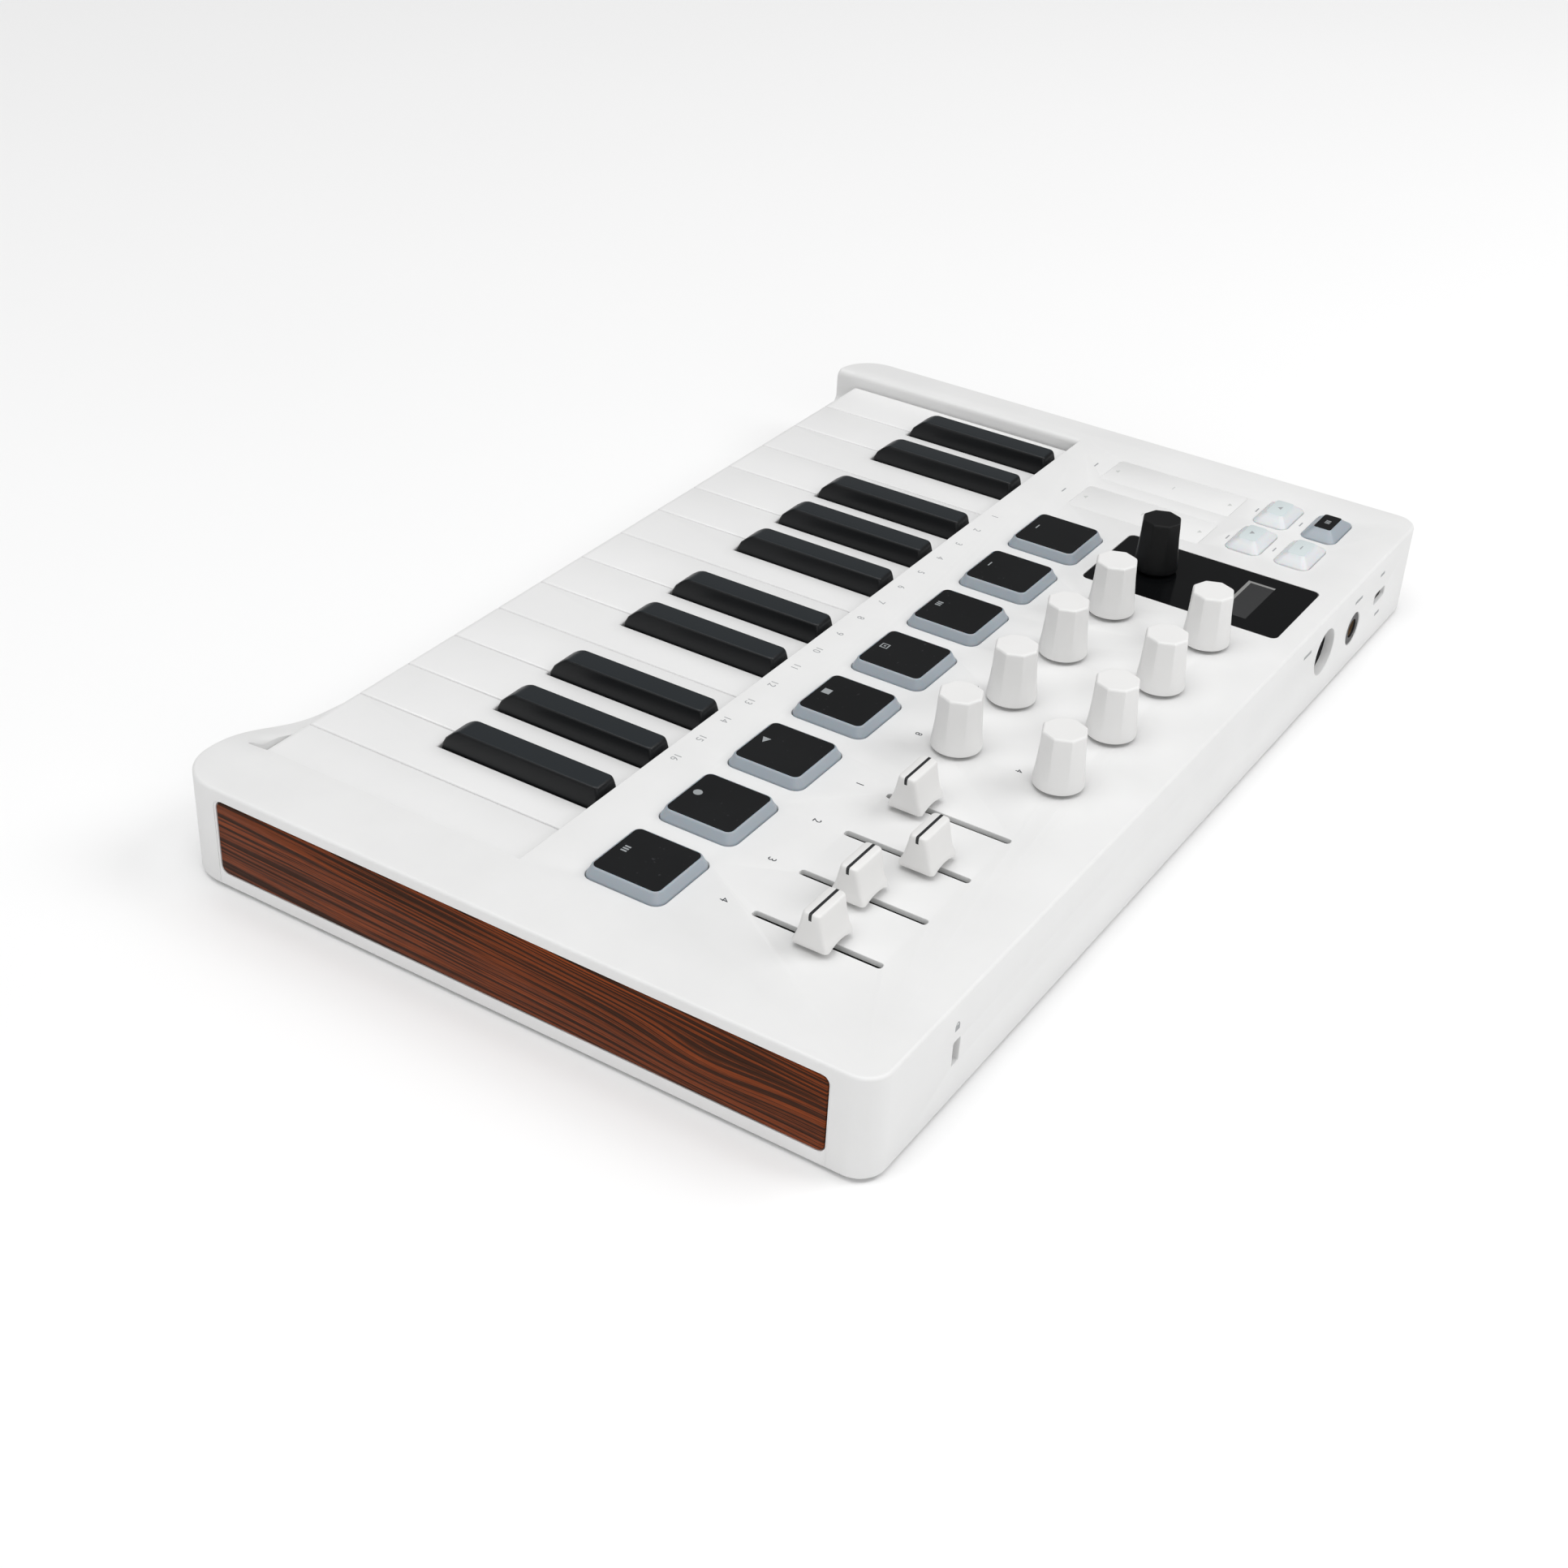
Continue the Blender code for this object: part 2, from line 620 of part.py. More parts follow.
def build_pads():
    mat = material("pad_rubber", (0.045, 0.05, 0.055), 0.6)
    for index in range(1, 9):
        x = pad_x(index)
        bm = bmesh.new()
        rings = []
        for z, size, corner in ((PAD_FOOT, PAD_BASE, PAD_CORNER), (CASE_TOP + 0.0002, PAD_BASE, PAD_CORNER),
                                (0.0335, 0.0219, 0.0028), (0.0343, 0.0213, 0.0026), (PAD_TOP, PAD_CREST, 0.0022)):
            rings.append(flat(pill(x, PAD_Y, size, size, corner), z))
        loft_into(bm, rings)
        pad = finish(bm, f"pad_{index}", PART, mat, 25)
        move_origin(pad, (x, PAD_Y, CASE_TOP))


def knob_ring(x, y, z, radius, facet, count=24):
    """Ring that is a circle at facet 0 and a regular octagon at facet 1."""
    points = []
    for i in range(count):
        angle = 2 * math.pi * i / count
        local = (angle + math.pi / 8) % (math.pi / 4) - math.pi / 8
        flat_radius = radius * math.cos(math.pi / 8) / math.cos(local)
        reach = radius + (flat_radius - radius) * facet
        turn = angle + math.pi / 8
        points.append((x + reach * math.cos(turn), y + reach * math.sin(turn), z))
    return points


def knob_body(x, y, scale):
    base, crest = KNOB_BASE_R * scale, KNOB_CREST_R * scale
    return [
        knob_ring(x, y, KNOB_FOOT, base, 0.0),
        knob_ring(x, y, KNOB_FOOT + 0.0020, base * 0.985, 0.0),
        knob_ring(x, y, KNOB_TOP - 0.0012, crest, 1.0),
        knob_ring(x, y, KNOB_TOP - 0.0003, crest * 0.975, 1.0),
        knob_ring(x, y, KNOB_TOP, crest * 0.93, 1.0),
    ]


def build_knobs():
    mat = material("knob_white", (0.80, 0.80, 0.79), 0.5)
    for index in range(1, 9):
        x, y = knob_place(index)
        bm = bmesh.new()
        loft_into(bm, knob_body(x, y, 1.0))
        knob = finish(bm, f"knob_{index}", PART, mat, 30)
        bm = bmesh.new()
        prism_into(bm, circle(x, y, SHAFT_R, 16), SHAFT_FOOT, KNOB_FOOT + 0.003)
        join(knob, bm, f"knob_shaft_{index}")
        move_origin(knob, (x, y, KNOB_FOOT))


def build_browse():
    """Push encoder: the shaft slides down, and the knob turns about it."""
    bm = bmesh.new()
    prism_into(bm, circle(BROWSE_X, BROWSE_Y, SHAFT_R, 20), SHAFT_FOOT + 0.001, BROWSE_BORE_TOP - 0.0004)
    shaft = finish(bm, "browse_shaft", PART, material("shaft_steel", (0.6, 0.6, 0.6), 0.3, 1.0), 30)
    move_origin(shaft, (BROWSE_X, BROWSE_Y, CASE_TOP))
    bm = bmesh.new()
    loft_into(bm, knob_body(BROWSE_X, BROWSE_Y, BROWSE_SCALE))
    knob = finish(bm, "browse_knob", PART, material("knob_black", (0.015, 0.016, 0.018), 0.38), 30)
    bm = bmesh.new()
    prism_into(bm, circle(BROWSE_X, BROWSE_Y, SHAFT_R + 0.0001, 20), KNOB_FOOT - FAR, BROWSE_BORE_TOP)
    cut(knob, bm, "browse_bore")
    move_origin(knob, (BROWSE_X, BROWSE_Y, KNOB_FOOT))


def build_faders():
    mat = material("fader_white", (0.82, 0.82, 0.81), 0.45)
    sections = ((CAP_FOOT, 0.0129, 0.0106), (0.0348, 0.0126, 0.0102), (0.0368, 0.0124, 0.0084),
                (0.0400, 0.0127, 0.0066), (0.0428, 0.0131, 0.0054), (0.0436, 0.0129, 0.0050),
                (CAP_TOP, 0.0122, 0.0042))
    for index in range(1, 5):
        x, y = fader_x(index), FADER_LINES[index - 1]
        bm = bmesh.new()
        rings = [flat(pill(x, y, width, depth, 0.0010, 1), z) for z, width, depth in sections]
        loft_into(bm, rings)
        cap = finish(bm, f"fader_cap_{index}", PART, mat, 30)
        radius, rise = 0.0150, 0.0011
        bm = bmesh.new()
        prism_into(bm, circle(x, CAP_FOOT - radius + rise, radius, 48), y - FAR, y + FAR, "Y")
        cut(cap, bm, f"fader_arch_{index}")
        bm = bmesh.new()
        half_x, half_y = STEM_SIZE[0] / 2, STEM_SIZE[1] / 2
        box_into(bm, (x - half_x, y - half_y, STEM_FOOT), (x + half_x, y + half_y, CAP_FOOT + 0.003))
        join(cap, bm, f"fader_stem_{index}")
        move_origin(cap, (x, y, CASE_TOP))


def build_buttons():
    pale = material("button_pale", (0.74, 0.79, 0.83), 0.35)
    dark = material("button_dark", (0.05, 0.055, 0.06), 0.5)
    names = {(0, 1): "button_shift", (1, 1): "button_hold", (0, 0): "button_octave_down", (1, 0): "button_octave_up"}
    for (column, row), name in names.items():
        x, y = BUTTON_X[column], BUTTON_Y[row]
        bm = bmesh.new()
        skirt = pill(x, y, *BUTTON_SIZE, BUTTON_CORNER)
        crest = pill(x, y, *BUTTON_CREST, BUTTON_CREST_CORNER)
        loft_into(bm, [flat(skirt, BUTTON_FOOT), flat(skirt, CASE_TOP + 0.0003), flat(crest, BUTTON_TOP)])
        button = finish(bm, name, PART, dark if name == "button_shift" else pale, 25)
        move_origin(button, (x, y, CASE_TOP))


# Boards

def build_control_board():
    """Printed board with the encoder, fader, pad-sensor and switch bodies joined on."""
    (x0, y0), (x1, y1) = BOARD
    bm = bmesh.new()
    box_into(bm, (x0, y0, BOARD_Z[0]), (x1, y1, BOARD_Z[1]))
    board = finish(bm, "control_board", PART, material("control_board_green", (0.03, 0.15, 0.08), 0.5))
    bm = bmesh.new()
    (nx0, ny0), (nx1, ny1) = BOARD_NOTCH
    box_into(bm, (nx0, ny0, BOARD_Z[0] - FAR), (nx1, ny1, BOARD_Z[1] + FAR))
    cut(board, bm, "board_notch")
    root = BOARD_Z[1] - EPS
    encoders = [knob_place(index) for index in range(1, 9)] + [(BROWSE_X, BROWSE_Y)]
    bm = bmesh.new()
    for x, y in encoders:
        box_into(bm, (x - 0.006, y - 0.006, root), (x + 0.006, y + 0.006, 0.0288))
    for index in range(1, 5):
        x, centre = fader_x(index), sum(FADER_SLOT) / 2
        box_into(bm, (x - 0.0045, centre - 0.0235, root), (x + 0.0045, centre + 0.0235, 0.0290))
    for index in range(1, 9):
        x = pad_x(index)
        box_into(bm, (x - 0.007, PAD_Y - 0.007, root), (x + 0.007, PAD_Y + 0.007, 0.0265))
    for x in BUTTON_X:
        for y in BUTTON_Y:
            box_into(bm, (x - 0.003, y - 0.003, root), (x + 0.003, y + 0.003, 0.0274))
    join(board, bm, "board_parts")
    bm = bmesh.new()
    for x, y in encoders:
        prism_into(bm, circle(x, y, SHAFT_R + 0.0002, 16), BOARD_Z[1] + 0.0008, 0.0288 + FAR)
    for index in range(1, 5):
        x, centre = fader_x(index), sum(FADER_SLOT) / 2
        half = (FADER_SLOT[1] - FADER_SLOT[0]) / 2
        box_into(bm, (x - 0.0010, centre - half, 0.0260), (x + 0.0010, centre + half, 0.0290 + FAR))
    cut(board, bm, "board_bores")


def build_socket_board():
    """Rear board with the five-pin socket, the pedal jack and the data port joined on."""
    bm = bmesh.new()
    box_into(bm, *SOCKET_BOARD)
    board = finish(bm, "socket_board", PART, material("socket_black", (0.02, 0.02, 0.022), 0.45), 30)
    root = SOCKET_BOARD[1][2] - EPS
    inner = DEPTH / 2 - REAR_WALL - SEAM_GAP
    bm = bmesh.new()
    box_into(bm, (DIN_X - 0.009, 0.0925, root), (DIN_X + 0.009, inner, DIN_Z + 0.0085))
    box_into(bm, (JACK_X - 0.0065, 0.0885, root), (JACK_X + 0.0065, inner, JACK_Z + 0.0065))
    box_into(bm, (PORT_X - 0.0050, 0.0980, root), (PORT_X + 0.0050, inner, PORT_Z + 0.0022))
    join(board, bm, "socket_blocks")
    bm = bmesh.new()
    prism_into(bm, circle(JACK_X, JACK_Z, JACK_R, 20), inner - 0.002, SOCKET_FACE, "Y")
    width, height = PORT_SIZE
    prism_into(bm, pill(PORT_X, PORT_Z, width, height, height * 0.45), inner - 0.002, SOCKET_FACE - 0.001, "Y")
    join(board, bm, "socket_barrels")
    bm = bmesh.new()
    prism_into(bm, circle(DIN_X, DIN_Z, DIN_BORE, 24), 0.1005, SOCKET_FACE + FAR, "Y")
    prism_into(bm, circle(JACK_X, JACK_Z, JACK_BORE, 20), 0.0905, SOCKET_FACE + FAR, "Y")
    inner_width, inner_height = width - 0.0008, height - 0.0008
    prism_into(bm, pill(PORT_X, PORT_Z, inner_width, inner_height, inner_height * 0.45), 0.1015,
               SOCKET_FACE + FAR, "Y")
    cut(board, bm, "socket_mouths")


clear_scene()
PART, CUTTERS = make_collections()
build_top_case()
build_bottom_case()
build_wood_side(1)
build_wood_side(-1)
build_display_panel()
build_key_frame()
build_contact_board()
build_control_board()
build_socket_board()
build_keys()
build_pads()
build_knobs()
build_browse()
build_faders()
build_buttons()
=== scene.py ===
"""Looks of a twenty-five key desktop controller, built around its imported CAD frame.

Row frame in metres: +X to the player's right, +Y to the back, +Z up.
"""
import math

import bmesh
import bpy
from mathutils import Matrix, Vector


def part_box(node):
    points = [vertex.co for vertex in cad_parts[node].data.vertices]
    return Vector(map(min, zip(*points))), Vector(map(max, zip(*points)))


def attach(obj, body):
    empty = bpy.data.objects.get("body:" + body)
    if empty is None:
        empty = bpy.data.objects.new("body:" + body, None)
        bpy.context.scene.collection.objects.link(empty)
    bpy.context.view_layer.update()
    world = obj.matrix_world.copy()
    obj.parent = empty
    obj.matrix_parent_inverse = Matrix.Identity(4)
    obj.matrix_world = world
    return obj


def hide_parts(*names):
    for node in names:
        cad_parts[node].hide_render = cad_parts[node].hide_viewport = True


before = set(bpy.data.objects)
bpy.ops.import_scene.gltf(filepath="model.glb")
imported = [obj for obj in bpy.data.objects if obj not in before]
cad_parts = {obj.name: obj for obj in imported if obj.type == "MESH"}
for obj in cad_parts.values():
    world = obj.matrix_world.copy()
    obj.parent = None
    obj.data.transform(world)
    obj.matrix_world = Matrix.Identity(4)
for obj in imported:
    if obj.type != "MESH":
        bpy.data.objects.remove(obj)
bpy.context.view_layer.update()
CASE = "case"

# Case, as in the CAD
WIDTH, DEPTH = 0.355, 0.220
CASE_TOP = 0.0319
SEAM_Z = 0.0040
BASE_Z = 0.0012
FRONT_CORNER, REAR_CORNER = 0.0140, 0.0075
TOP_EDGE, FOOT_EDGE = 0.0010, 0.0004
PLATE_INSET = 0.0025
SKIN, SIDE_WALL, REAR_WALL = 0.0025, 0.0040, 0.0030
WELL_LEFT, WELL_RIGHT = -0.1621, 0.1546
WELL_FRONT, WELL_REAR = -0.1036, -0.0103
WELL_EDGE, WELL_RIGHT_EDGE = 0.0022, 0.15
LIP_Z, LIP_FILLET = 0.0192, 0.0045
LIP_RAMP, LIP_RAMP_RISE = (0.0970, 0.1270), 0.0023
LIP_SCOOP = (0.1185, 0.1620)
LIP_RUNOUT, LIP_ROLL = 0.0120, 0.0036
LIP_ROLL_LEAST, LIP_ROLL_END, KEY_LEVEL = 0.0008, 0.1480, 0.0268
PLAY = 0.0003
CORNER_STEPS = 20
SOFT = 0.00025

# Keys
KEY_NOSE, KEY_EDGE, KEY_SKIN = 0.0024, 0.0006, 0.0016
KEY_SWELL = 0.0001
SHARP_REACH = 0.0053
SHARP_STEP = 0.0008
SHARP_REAR, SHARP_SHANK_TOP = -0.0112, 0.0268
HINGE_Y, HINGE_Z, HINGE_BORE = -0.0060, 0.0205, 0.0016
WHITE_COUNT, BLACK_COUNT = 15, 10
# Height, half width, front and rear slopes, corner radius
SHARP_SECTIONS = (
    (0.0240, 0.0048, 0.0000, 0.0000, 0.0006),
    (0.0280, 0.0047, 0.0002, 0.0001, 0.0008),
    (0.0300, 0.0045, 0.0012, 0.0002, 0.0009),
    (0.0314, 0.0043, 0.0027, 0.0004, 0.0010),
    (0.0324, 0.0041, 0.0040, 0.0006, 0.0010),
    (0.0330, 0.0040, 0.0050, 0.0009, 0.0010),
    (0.0333, 0.0039, 0.0058, 0.0012, 0.0010),
    (0.03345, 0.00375, 0.0064, 0.0015, 0.0010),
    (0.0335, 0.0035, 0.0070, 0.0018, 0.0011),
)

# Controls
PAD_COUNT, KNOB_COUNT, FADER_COUNT = 8, 8, 4
# Height, side and corner radius
PAD_SKIRT_SECTIONS = (
    (0.0320, 0.0240, 0.0031), (0.0324, 0.0238, 0.0031), (0.0335, 0.0227, 0.0029), (0.0342, 0.0221, 0.0027),
    (0.0346, 0.0217, 0.0025), (0.0348, 0.0213, 0.0023), (0.0349, 0.0209, 0.0020), (0.0348, 0.0207, 0.0019),
)
PAD_FACE_SECTIONS = ((0.0346, 0.0205, 0.0018), (0.03492, 0.0205, 0.0018), (0.03500, 0.02035, 0.0017))
PAD_FACE_TOP, PAD_ICON_SIZE, PAD_ICON_SHIFT = 0.0350, 0.0026, (-0.0006, -0.0072)
OPENING_CORNER, SHAFT_OPENING = 0.0033, 0.0037
KNOB_FOOT, KNOB_TOP = 0.0331, 0.0500
KNOB_BASE, KNOB_CREST, BROWSE_SCALE = 0.0073, 0.0066, 0.97
KNOB_SHAFT, KNOB_SHAFT_TOP = 0.0030, 0.0357
BROWSE_BORE, BROWSE_BORE_TOP = 0.0031, 0.0405
SLOT_Y, SLOT_DEPTH = 0.06935, 0.0016
SLOT_WIDTH, SLOT_LENGTH, SLOT_CORNER = 0.0023, 0.0375, 0.00092
POCKET_HALF, SHIELD_HALF, SHIELD_SLIT = (0.0030, 0.0200), (0.0028, 0.0198), (0.0010, 0.0180)
# Height, width and depth
CAP_SECTIONS = (
    (0.0335, 0.01270, 0.01040), (0.0337, 0.01290, 0.01060), (0.0348, 0.01265, 0.01020),
    (0.0358, 0.01250, 0.00925), (0.0368, 0.01240, 0.00840), (0.0384, 0.01250, 0.00740),
    (0.0400, 0.01270, 0.00660), (0.0415, 0.01290, 0.00595), (0.0428, 0.01310, 0.00540),
    (0.0434, 0.01300, 0.00515), (0.0437, 0.01280, 0.00485), (0.0439, 0.01230, 0.00420),
)
CAP_FOOT, CAP_HOLLOW_RISE, CAP_HOLLOW_RADIUS = 0.0335, 0.0139, 0.0150
STEM_HALF, STEM_LOW, STEM_TOP = (0.00065, 0.0023), 0.0266, 0.0365
BUTTONS = ("button_shift", "button_hold", "button_octave_down", "button_octave_up")
BUTTON_CREST = (0.0111, 0.0060)

# Sockets and lock slot in the rear wall: x and z, then radius or width and height
DIN = (-0.0978, 0.0181, 0.0074)
JACK = (-0.1233, 0.0150, 0.0053)
PORT = (-0.1463, 0.0172, 0.0092, 0.0034)
LOCK = (0.1384, 0.0160, 0.0036, 0.0074)

# Underside
FEET = ((-0.155, -0.092), (0.155, -0.092), (-0.155, 0.092), (0.155, 0.092))
SCREWS = ((-0.135, -0.080), (0.0, -0.080), (0.135, -0.080), (-0.135, 0.0), (0.135, 0.0), (-0.135, 0.080),
          (0.0, 0.080), (0.135, 0.080))
SCREW_RECESS, SCREW_DEPTH = 0.0032, 0.0012
SCREW_CROSS = (0.0016, 0.0003)

# Inlays, touch strips, window and printed marks

WOOD_Y, WOOD_Z = (-0.0939, 0.0971), (0.0053, 0.0280)
WOOD_CORNER, WOOD_RECESS = 0.0020, 0.0021
WOOD_STEP = (0.0009, 0.00018)
STRIP_X, STRIP_Y, STRIP_WIDTH, STRIP_DEPTH = (-0.1483, -0.1236), (0.0090, 0.0565), 0.0175, 0.0003
WINDOW = ((-0.1019, 0.0804), (-0.0778, 0.0895))
WINDOW_HIGHLIGHT_WIDTH, WINDOW_DEPTH = 0.0011, 0.0003
INK_LOW, INK_HIGH = 0.00002, 0.00003
FADER_NUMBER_Y, KNOB_NUMBER_SHIFT = 0.0419, -0.0120
STEP_COUNT, STEP_LAST_X, STEP_PITCH, STEP_Y = 16, 0.0917, 0.0122, -0.0056
FAR = 0.0100

# Camera: focal length in mm on a 36 mm sensor, then its place and its axes
LENS, SENSOR = 53.555, 36.0
CAMERA_PLACE = (0.53557, 0.296617, 0.376901)
CAMERA_RIGHT = (-0.540778, 0.839922, 0.045724)
CAMERA_UP = (-0.441145, -0.329472, 0.834769)
CAMERA_BACK = (0.716205, 0.431254, 0.548699)


# Materials

def srgb(red, green, blue):
    """Linear colour from 0-255 display values."""
    values = []
    for value in (red, green, blue):
        value /= 255
        values.append(value / 12.92 if value <= 0.04045 else ((value + 0.055) / 1.055) ** 2.4)
    return values


def node(tree, kind, **settings):
    made = tree.nodes.new(kind)
    for key, value in settings.items():
        setattr(made, key, value)
    return made


def new_material(name, colour, roughness, **sockets):
    mat = bpy.data.materials.new(name)
    mat.use_nodes = True
    shader = mat.node_tree.nodes["Principled BSDF"]
    shader.inputs["Base Color"].default_value = (*colour, 1.0)
    shader.inputs["Roughness"].default_value = roughness
    for key, value in sockets.items():
        shader.inputs[key.replace("_", " ")].default_value = value
    mat.diffuse_color = (*colour, 1.0)
    return mat, mat.node_tree, shader


def place(tree, scale=(1.0, 1.0, 1.0)):
    coords = node(tree, "ShaderNodeTexCoord")
    mapping = node(tree, "ShaderNodeMapping")
    mapping.inputs["Scale"].default_value = scale
    tree.links.new(coords.outputs["Object"], mapping.inputs["Vector"])
    return mapping.outputs["Vector"]


def noise(tree, vector, scale, detail=2.0, roughness=0.5, distortion=0.0):
    made = node(tree, "ShaderNodeTexNoise")
    made.inputs["Scale"].default_value = scale
    made.inputs["Detail"].default_value = detail
    made.inputs["Roughness"].default_value = roughness
    made.inputs["Distortion"].default_value = distortion
    tree.links.new(vector, made.inputs["Vector"])
    return made.outputs["Fac"]


def ramp(tree, value, stops):
    """Colour ramp through (position, linear colour) stops."""
    made = node(tree, "ShaderNodeValToRGB")
    elements = made.color_ramp.elements
    while len(elements) < len(stops):
        elements.new(0.5)
    for element, (position, colour) in zip(elements, stops):
        element.position = position
        element.color = (*colour, 1.0)
    tree.links.new(value, made.inputs["Fac"])
    return made.outputs["Color"]


def spread(tree, value, low, high, low_out, high_out):
    made = node(tree, "ShaderNodeMapRange")
    for key, number in (("From Min", low), ("From Max", high), ("To Min", low_out), ("To Max", high_out)):
        made.inputs[key].default_value = number
    tree.links.new(value, made.inputs["Value"])
    return made.outputs["Result"]


def math_node(tree, operation, first, second=None):
    made = node(tree, "ShaderNodeMath", operation=operation)
    for socket, value in zip(made.inputs, (first, second)):
        if isinstance(value, (int, float)):
            socket.default_value = value
        elif value is not None:
            tree.links.new(value, socket)
    return made.outputs["Value"]


def mix(tree, factor, first, second, blend="MIX"):
    made = node(tree, "ShaderNodeMix", data_type="RGBA", blend_type=blend)
    for socket, value in ((made.inputs[0], factor), (made.inputs[6], first), (made.inputs[7], second)):
        if isinstance(value, (int, float)):
            socket.default_value = value
        elif isinstance(value, (list, tuple)):
            socket.default_value = (*value, 1.0)
        else:
            tree.links.new(value, socket)
    return made.outputs[2]


def relief(tree, shader, height, distance, strength=1.0):
    made = node(tree, "ShaderNodeBump")
    made.inputs["Strength"].default_value = strength
    made.inputs["Distance"].default_value = distance
    tree.links.new(height, made.inputs["Height"])
    tree.links.new(made.outputs["Normal"], shader.inputs["Normal"])


def plastic(name, colour, roughness, grain=0.00035, depth=0.000006, shade=0.03, specks=None, painted_top_sheen=None,
            **sockets):
    """Moulded plastic: fine grain, faint cloudy tone, uneven polish; optional painted reflection on upward
    faces.
    """
    mat, tree, shader = new_material(name, colour, roughness, **sockets)
    vector = place(tree)
    clouds = noise(tree, vector, 28.0, 4.0, 0.6)
    darker = [value * (1 - shade) for value in colour]
    base = ramp(tree, clouds, ((0.35, darker), (0.65, colour)))
    fine = noise(tree, vector, 1 / grain, 3.0, 0.6)
    if specks:
        spots = noise(tree, vector, 900.0, 1.0)
        base = mix(tree, spread(tree, spots, 0.74, 0.80, 0.0, 0.6), base, specks)
    # Painted reflection: faces whose normal points up blend towards a lighter colour that stands in for the
    # bright surroundings mirrored in them.
    if painted_top_sheen:
        facing = node(tree, "ShaderNodeSeparateXYZ")
        tree.links.new(node(tree, "ShaderNodeNewGeometry").outputs["Normal"], facing.inputs["Vector"])
        base = mix(tree, spread(tree, facing.outputs["Z"], 0.75, 0.92, 0.0, 1.0), base, painted_top_sheen)
    tree.links.new(base, shader.inputs["Base Color"])
    worn = math_node(tree, "ADD", spread(tree, clouds, 0.3, 0.7, -0.03, 0.03), roughness)
    tree.links.new(math_node(tree, "ADD", worn, spread(tree, fine, 0.3, 0.7, -0.03, 0.03)),
                   shader.inputs["Roughness"])
    relief(tree, shader, fine, depth)
    return mat


def wood(name):
    """Dark reddish veneer: straight slanting figure along Y with a swirl towards the back."""
    mat, tree, shader = new_material(name, srgb(118, 55, 32), 0.6, Specular_IOR_Level=0.08)
    coords = node(tree, "ShaderNodeTexCoord").outputs["Object"]
    split = node(tree, "ShaderNodeSeparateXYZ")
    tree.links.new(coords, split.inputs["Vector"])
    along, height = split.outputs["Y"], split.outputs["Z"]
    waves = noise(tree, place(tree, (1.0, 7.0, 30.0)), 1.0, 2.0, 0.5)
    lift = spread(tree, waves, 0.3, 0.7, -0.0009, 0.0009)
    swirl_y = math_node(tree, "DIVIDE", math_node(tree, "SUBTRACT", along, 0.062), 0.020)
    swirl_z = math_node(tree, "DIVIDE", math_node(tree, "SUBTRACT", height, 0.0150), 0.0065)
    radius = math_node(tree, "ADD", math_node(tree, "MULTIPLY", swirl_y, swirl_y),
                       math_node(tree, "MULTIPLY", swirl_z, swirl_z))
    hump = math_node(tree, "EXPONENT", math_node(tree, "MULTIPLY", radius, -1.0))
    swirl = math_node(tree, "MULTIPLY", hump, 0.0036)
    slant = math_node(tree, "MULTIPLY", along, 0.045)
    bent = math_node(tree, "ADD", math_node(tree, "ADD", height, lift), math_node(tree, "ADD", swirl, slant))
    joined = node(tree, "ShaderNodeCombineXYZ")
    tree.links.new(along, joined.inputs["Y"])
    tree.links.new(bent, joined.inputs["Z"])

    def streaks(scale_y, scale_z, detail, roughness=0.5):
        mapping = node(tree, "ShaderNodeMapping")
        mapping.inputs["Scale"].default_value = (1.0, scale_y, scale_z)
        tree.links.new(joined.outputs["Vector"], mapping.inputs["Vector"])
        return noise(tree, mapping.outputs["Vector"], 1.0, detail, roughness)

    bands = streaks(4.0, 300.0, 2.0)
    lines = streaks(8.0, 1250.0, 1.0, 0.35)
    fine_lines = streaks(20.0, 2500.0, 1.0, 0.35)
    fibres = streaks(110.0, 3000.0, 3.0, 0.7)
    ground = ramp(tree, bands, ((0.30, srgb(110, 55, 28)), (0.52, srgb(132, 63, 29)),
                                (0.74, srgb(154, 73, 31))))
    fibre_tone = ramp(tree, fibres, ((0.30, srgb(168, 160, 150)), (0.70, srgb(255, 255, 255))))
    ground = mix(tree, 0.7, ground, fibre_tone, "MULTIPLY")
    dark = srgb(50, 30, 20)
    ground = mix(tree, spread(tree, lines, 0.50, 0.55, 0.0, 0.92), ground, dark)
    ground = mix(tree, spread(tree, fine_lines, 0.52, 0.58, 0.0, 0.75), ground, srgb(44, 27, 16))
    tree.links.new(ground, shader.inputs["Base Color"])
    tree.links.new(spread(tree, lines, 0.4, 0.65, 0.46, 0.62), shader.inputs["Roughness"])
    grooves = math_node(tree, "MULTIPLY", lines, 1.5)
    relief(tree, shader, math_node(tree, "SUBTRACT", fibres, grooves), 0.00002)
    return mat


def metal(name, colour, roughness):
    mat, tree, shader = new_material(name, colour, roughness, Metallic=1.0)
    scratches = noise(tree, place(tree, (900.0, 900.0, 4000.0)), 1.0, 3.0)
    tree.links.new(spread(tree, scratches, 0.3, 0.7, roughness - 0.06, roughness + 0.08),
                   shader.inputs["Roughness"])
    relief(tree, shader, scratches, 0.000002)
    return mat


def board(name):
    """Solder mask over fine copper tracks."""
    mat, tree, shader = new_material(name, srgb(20, 92, 52), 0.35)
    cells = node(tree, "ShaderNodeTexVoronoi", feature="DISTANCE_TO_EDGE", distance="MANHATTAN")
    cells.inputs["Scale"].default_value = 260.0
    tree.links.new(place(tree), cells.inputs["Vector"])
    tracks = spread(tree, cells.outputs["Distance"], 0.06, 0.10, 1.0, 0.0)
    tree.links.new(mix(tree, tracks, srgb(18, 84, 48), srgb(58, 138, 78)), shader.inputs["Base Color"])
    relief(tree, shader, tracks, 0.00002)
    return mat


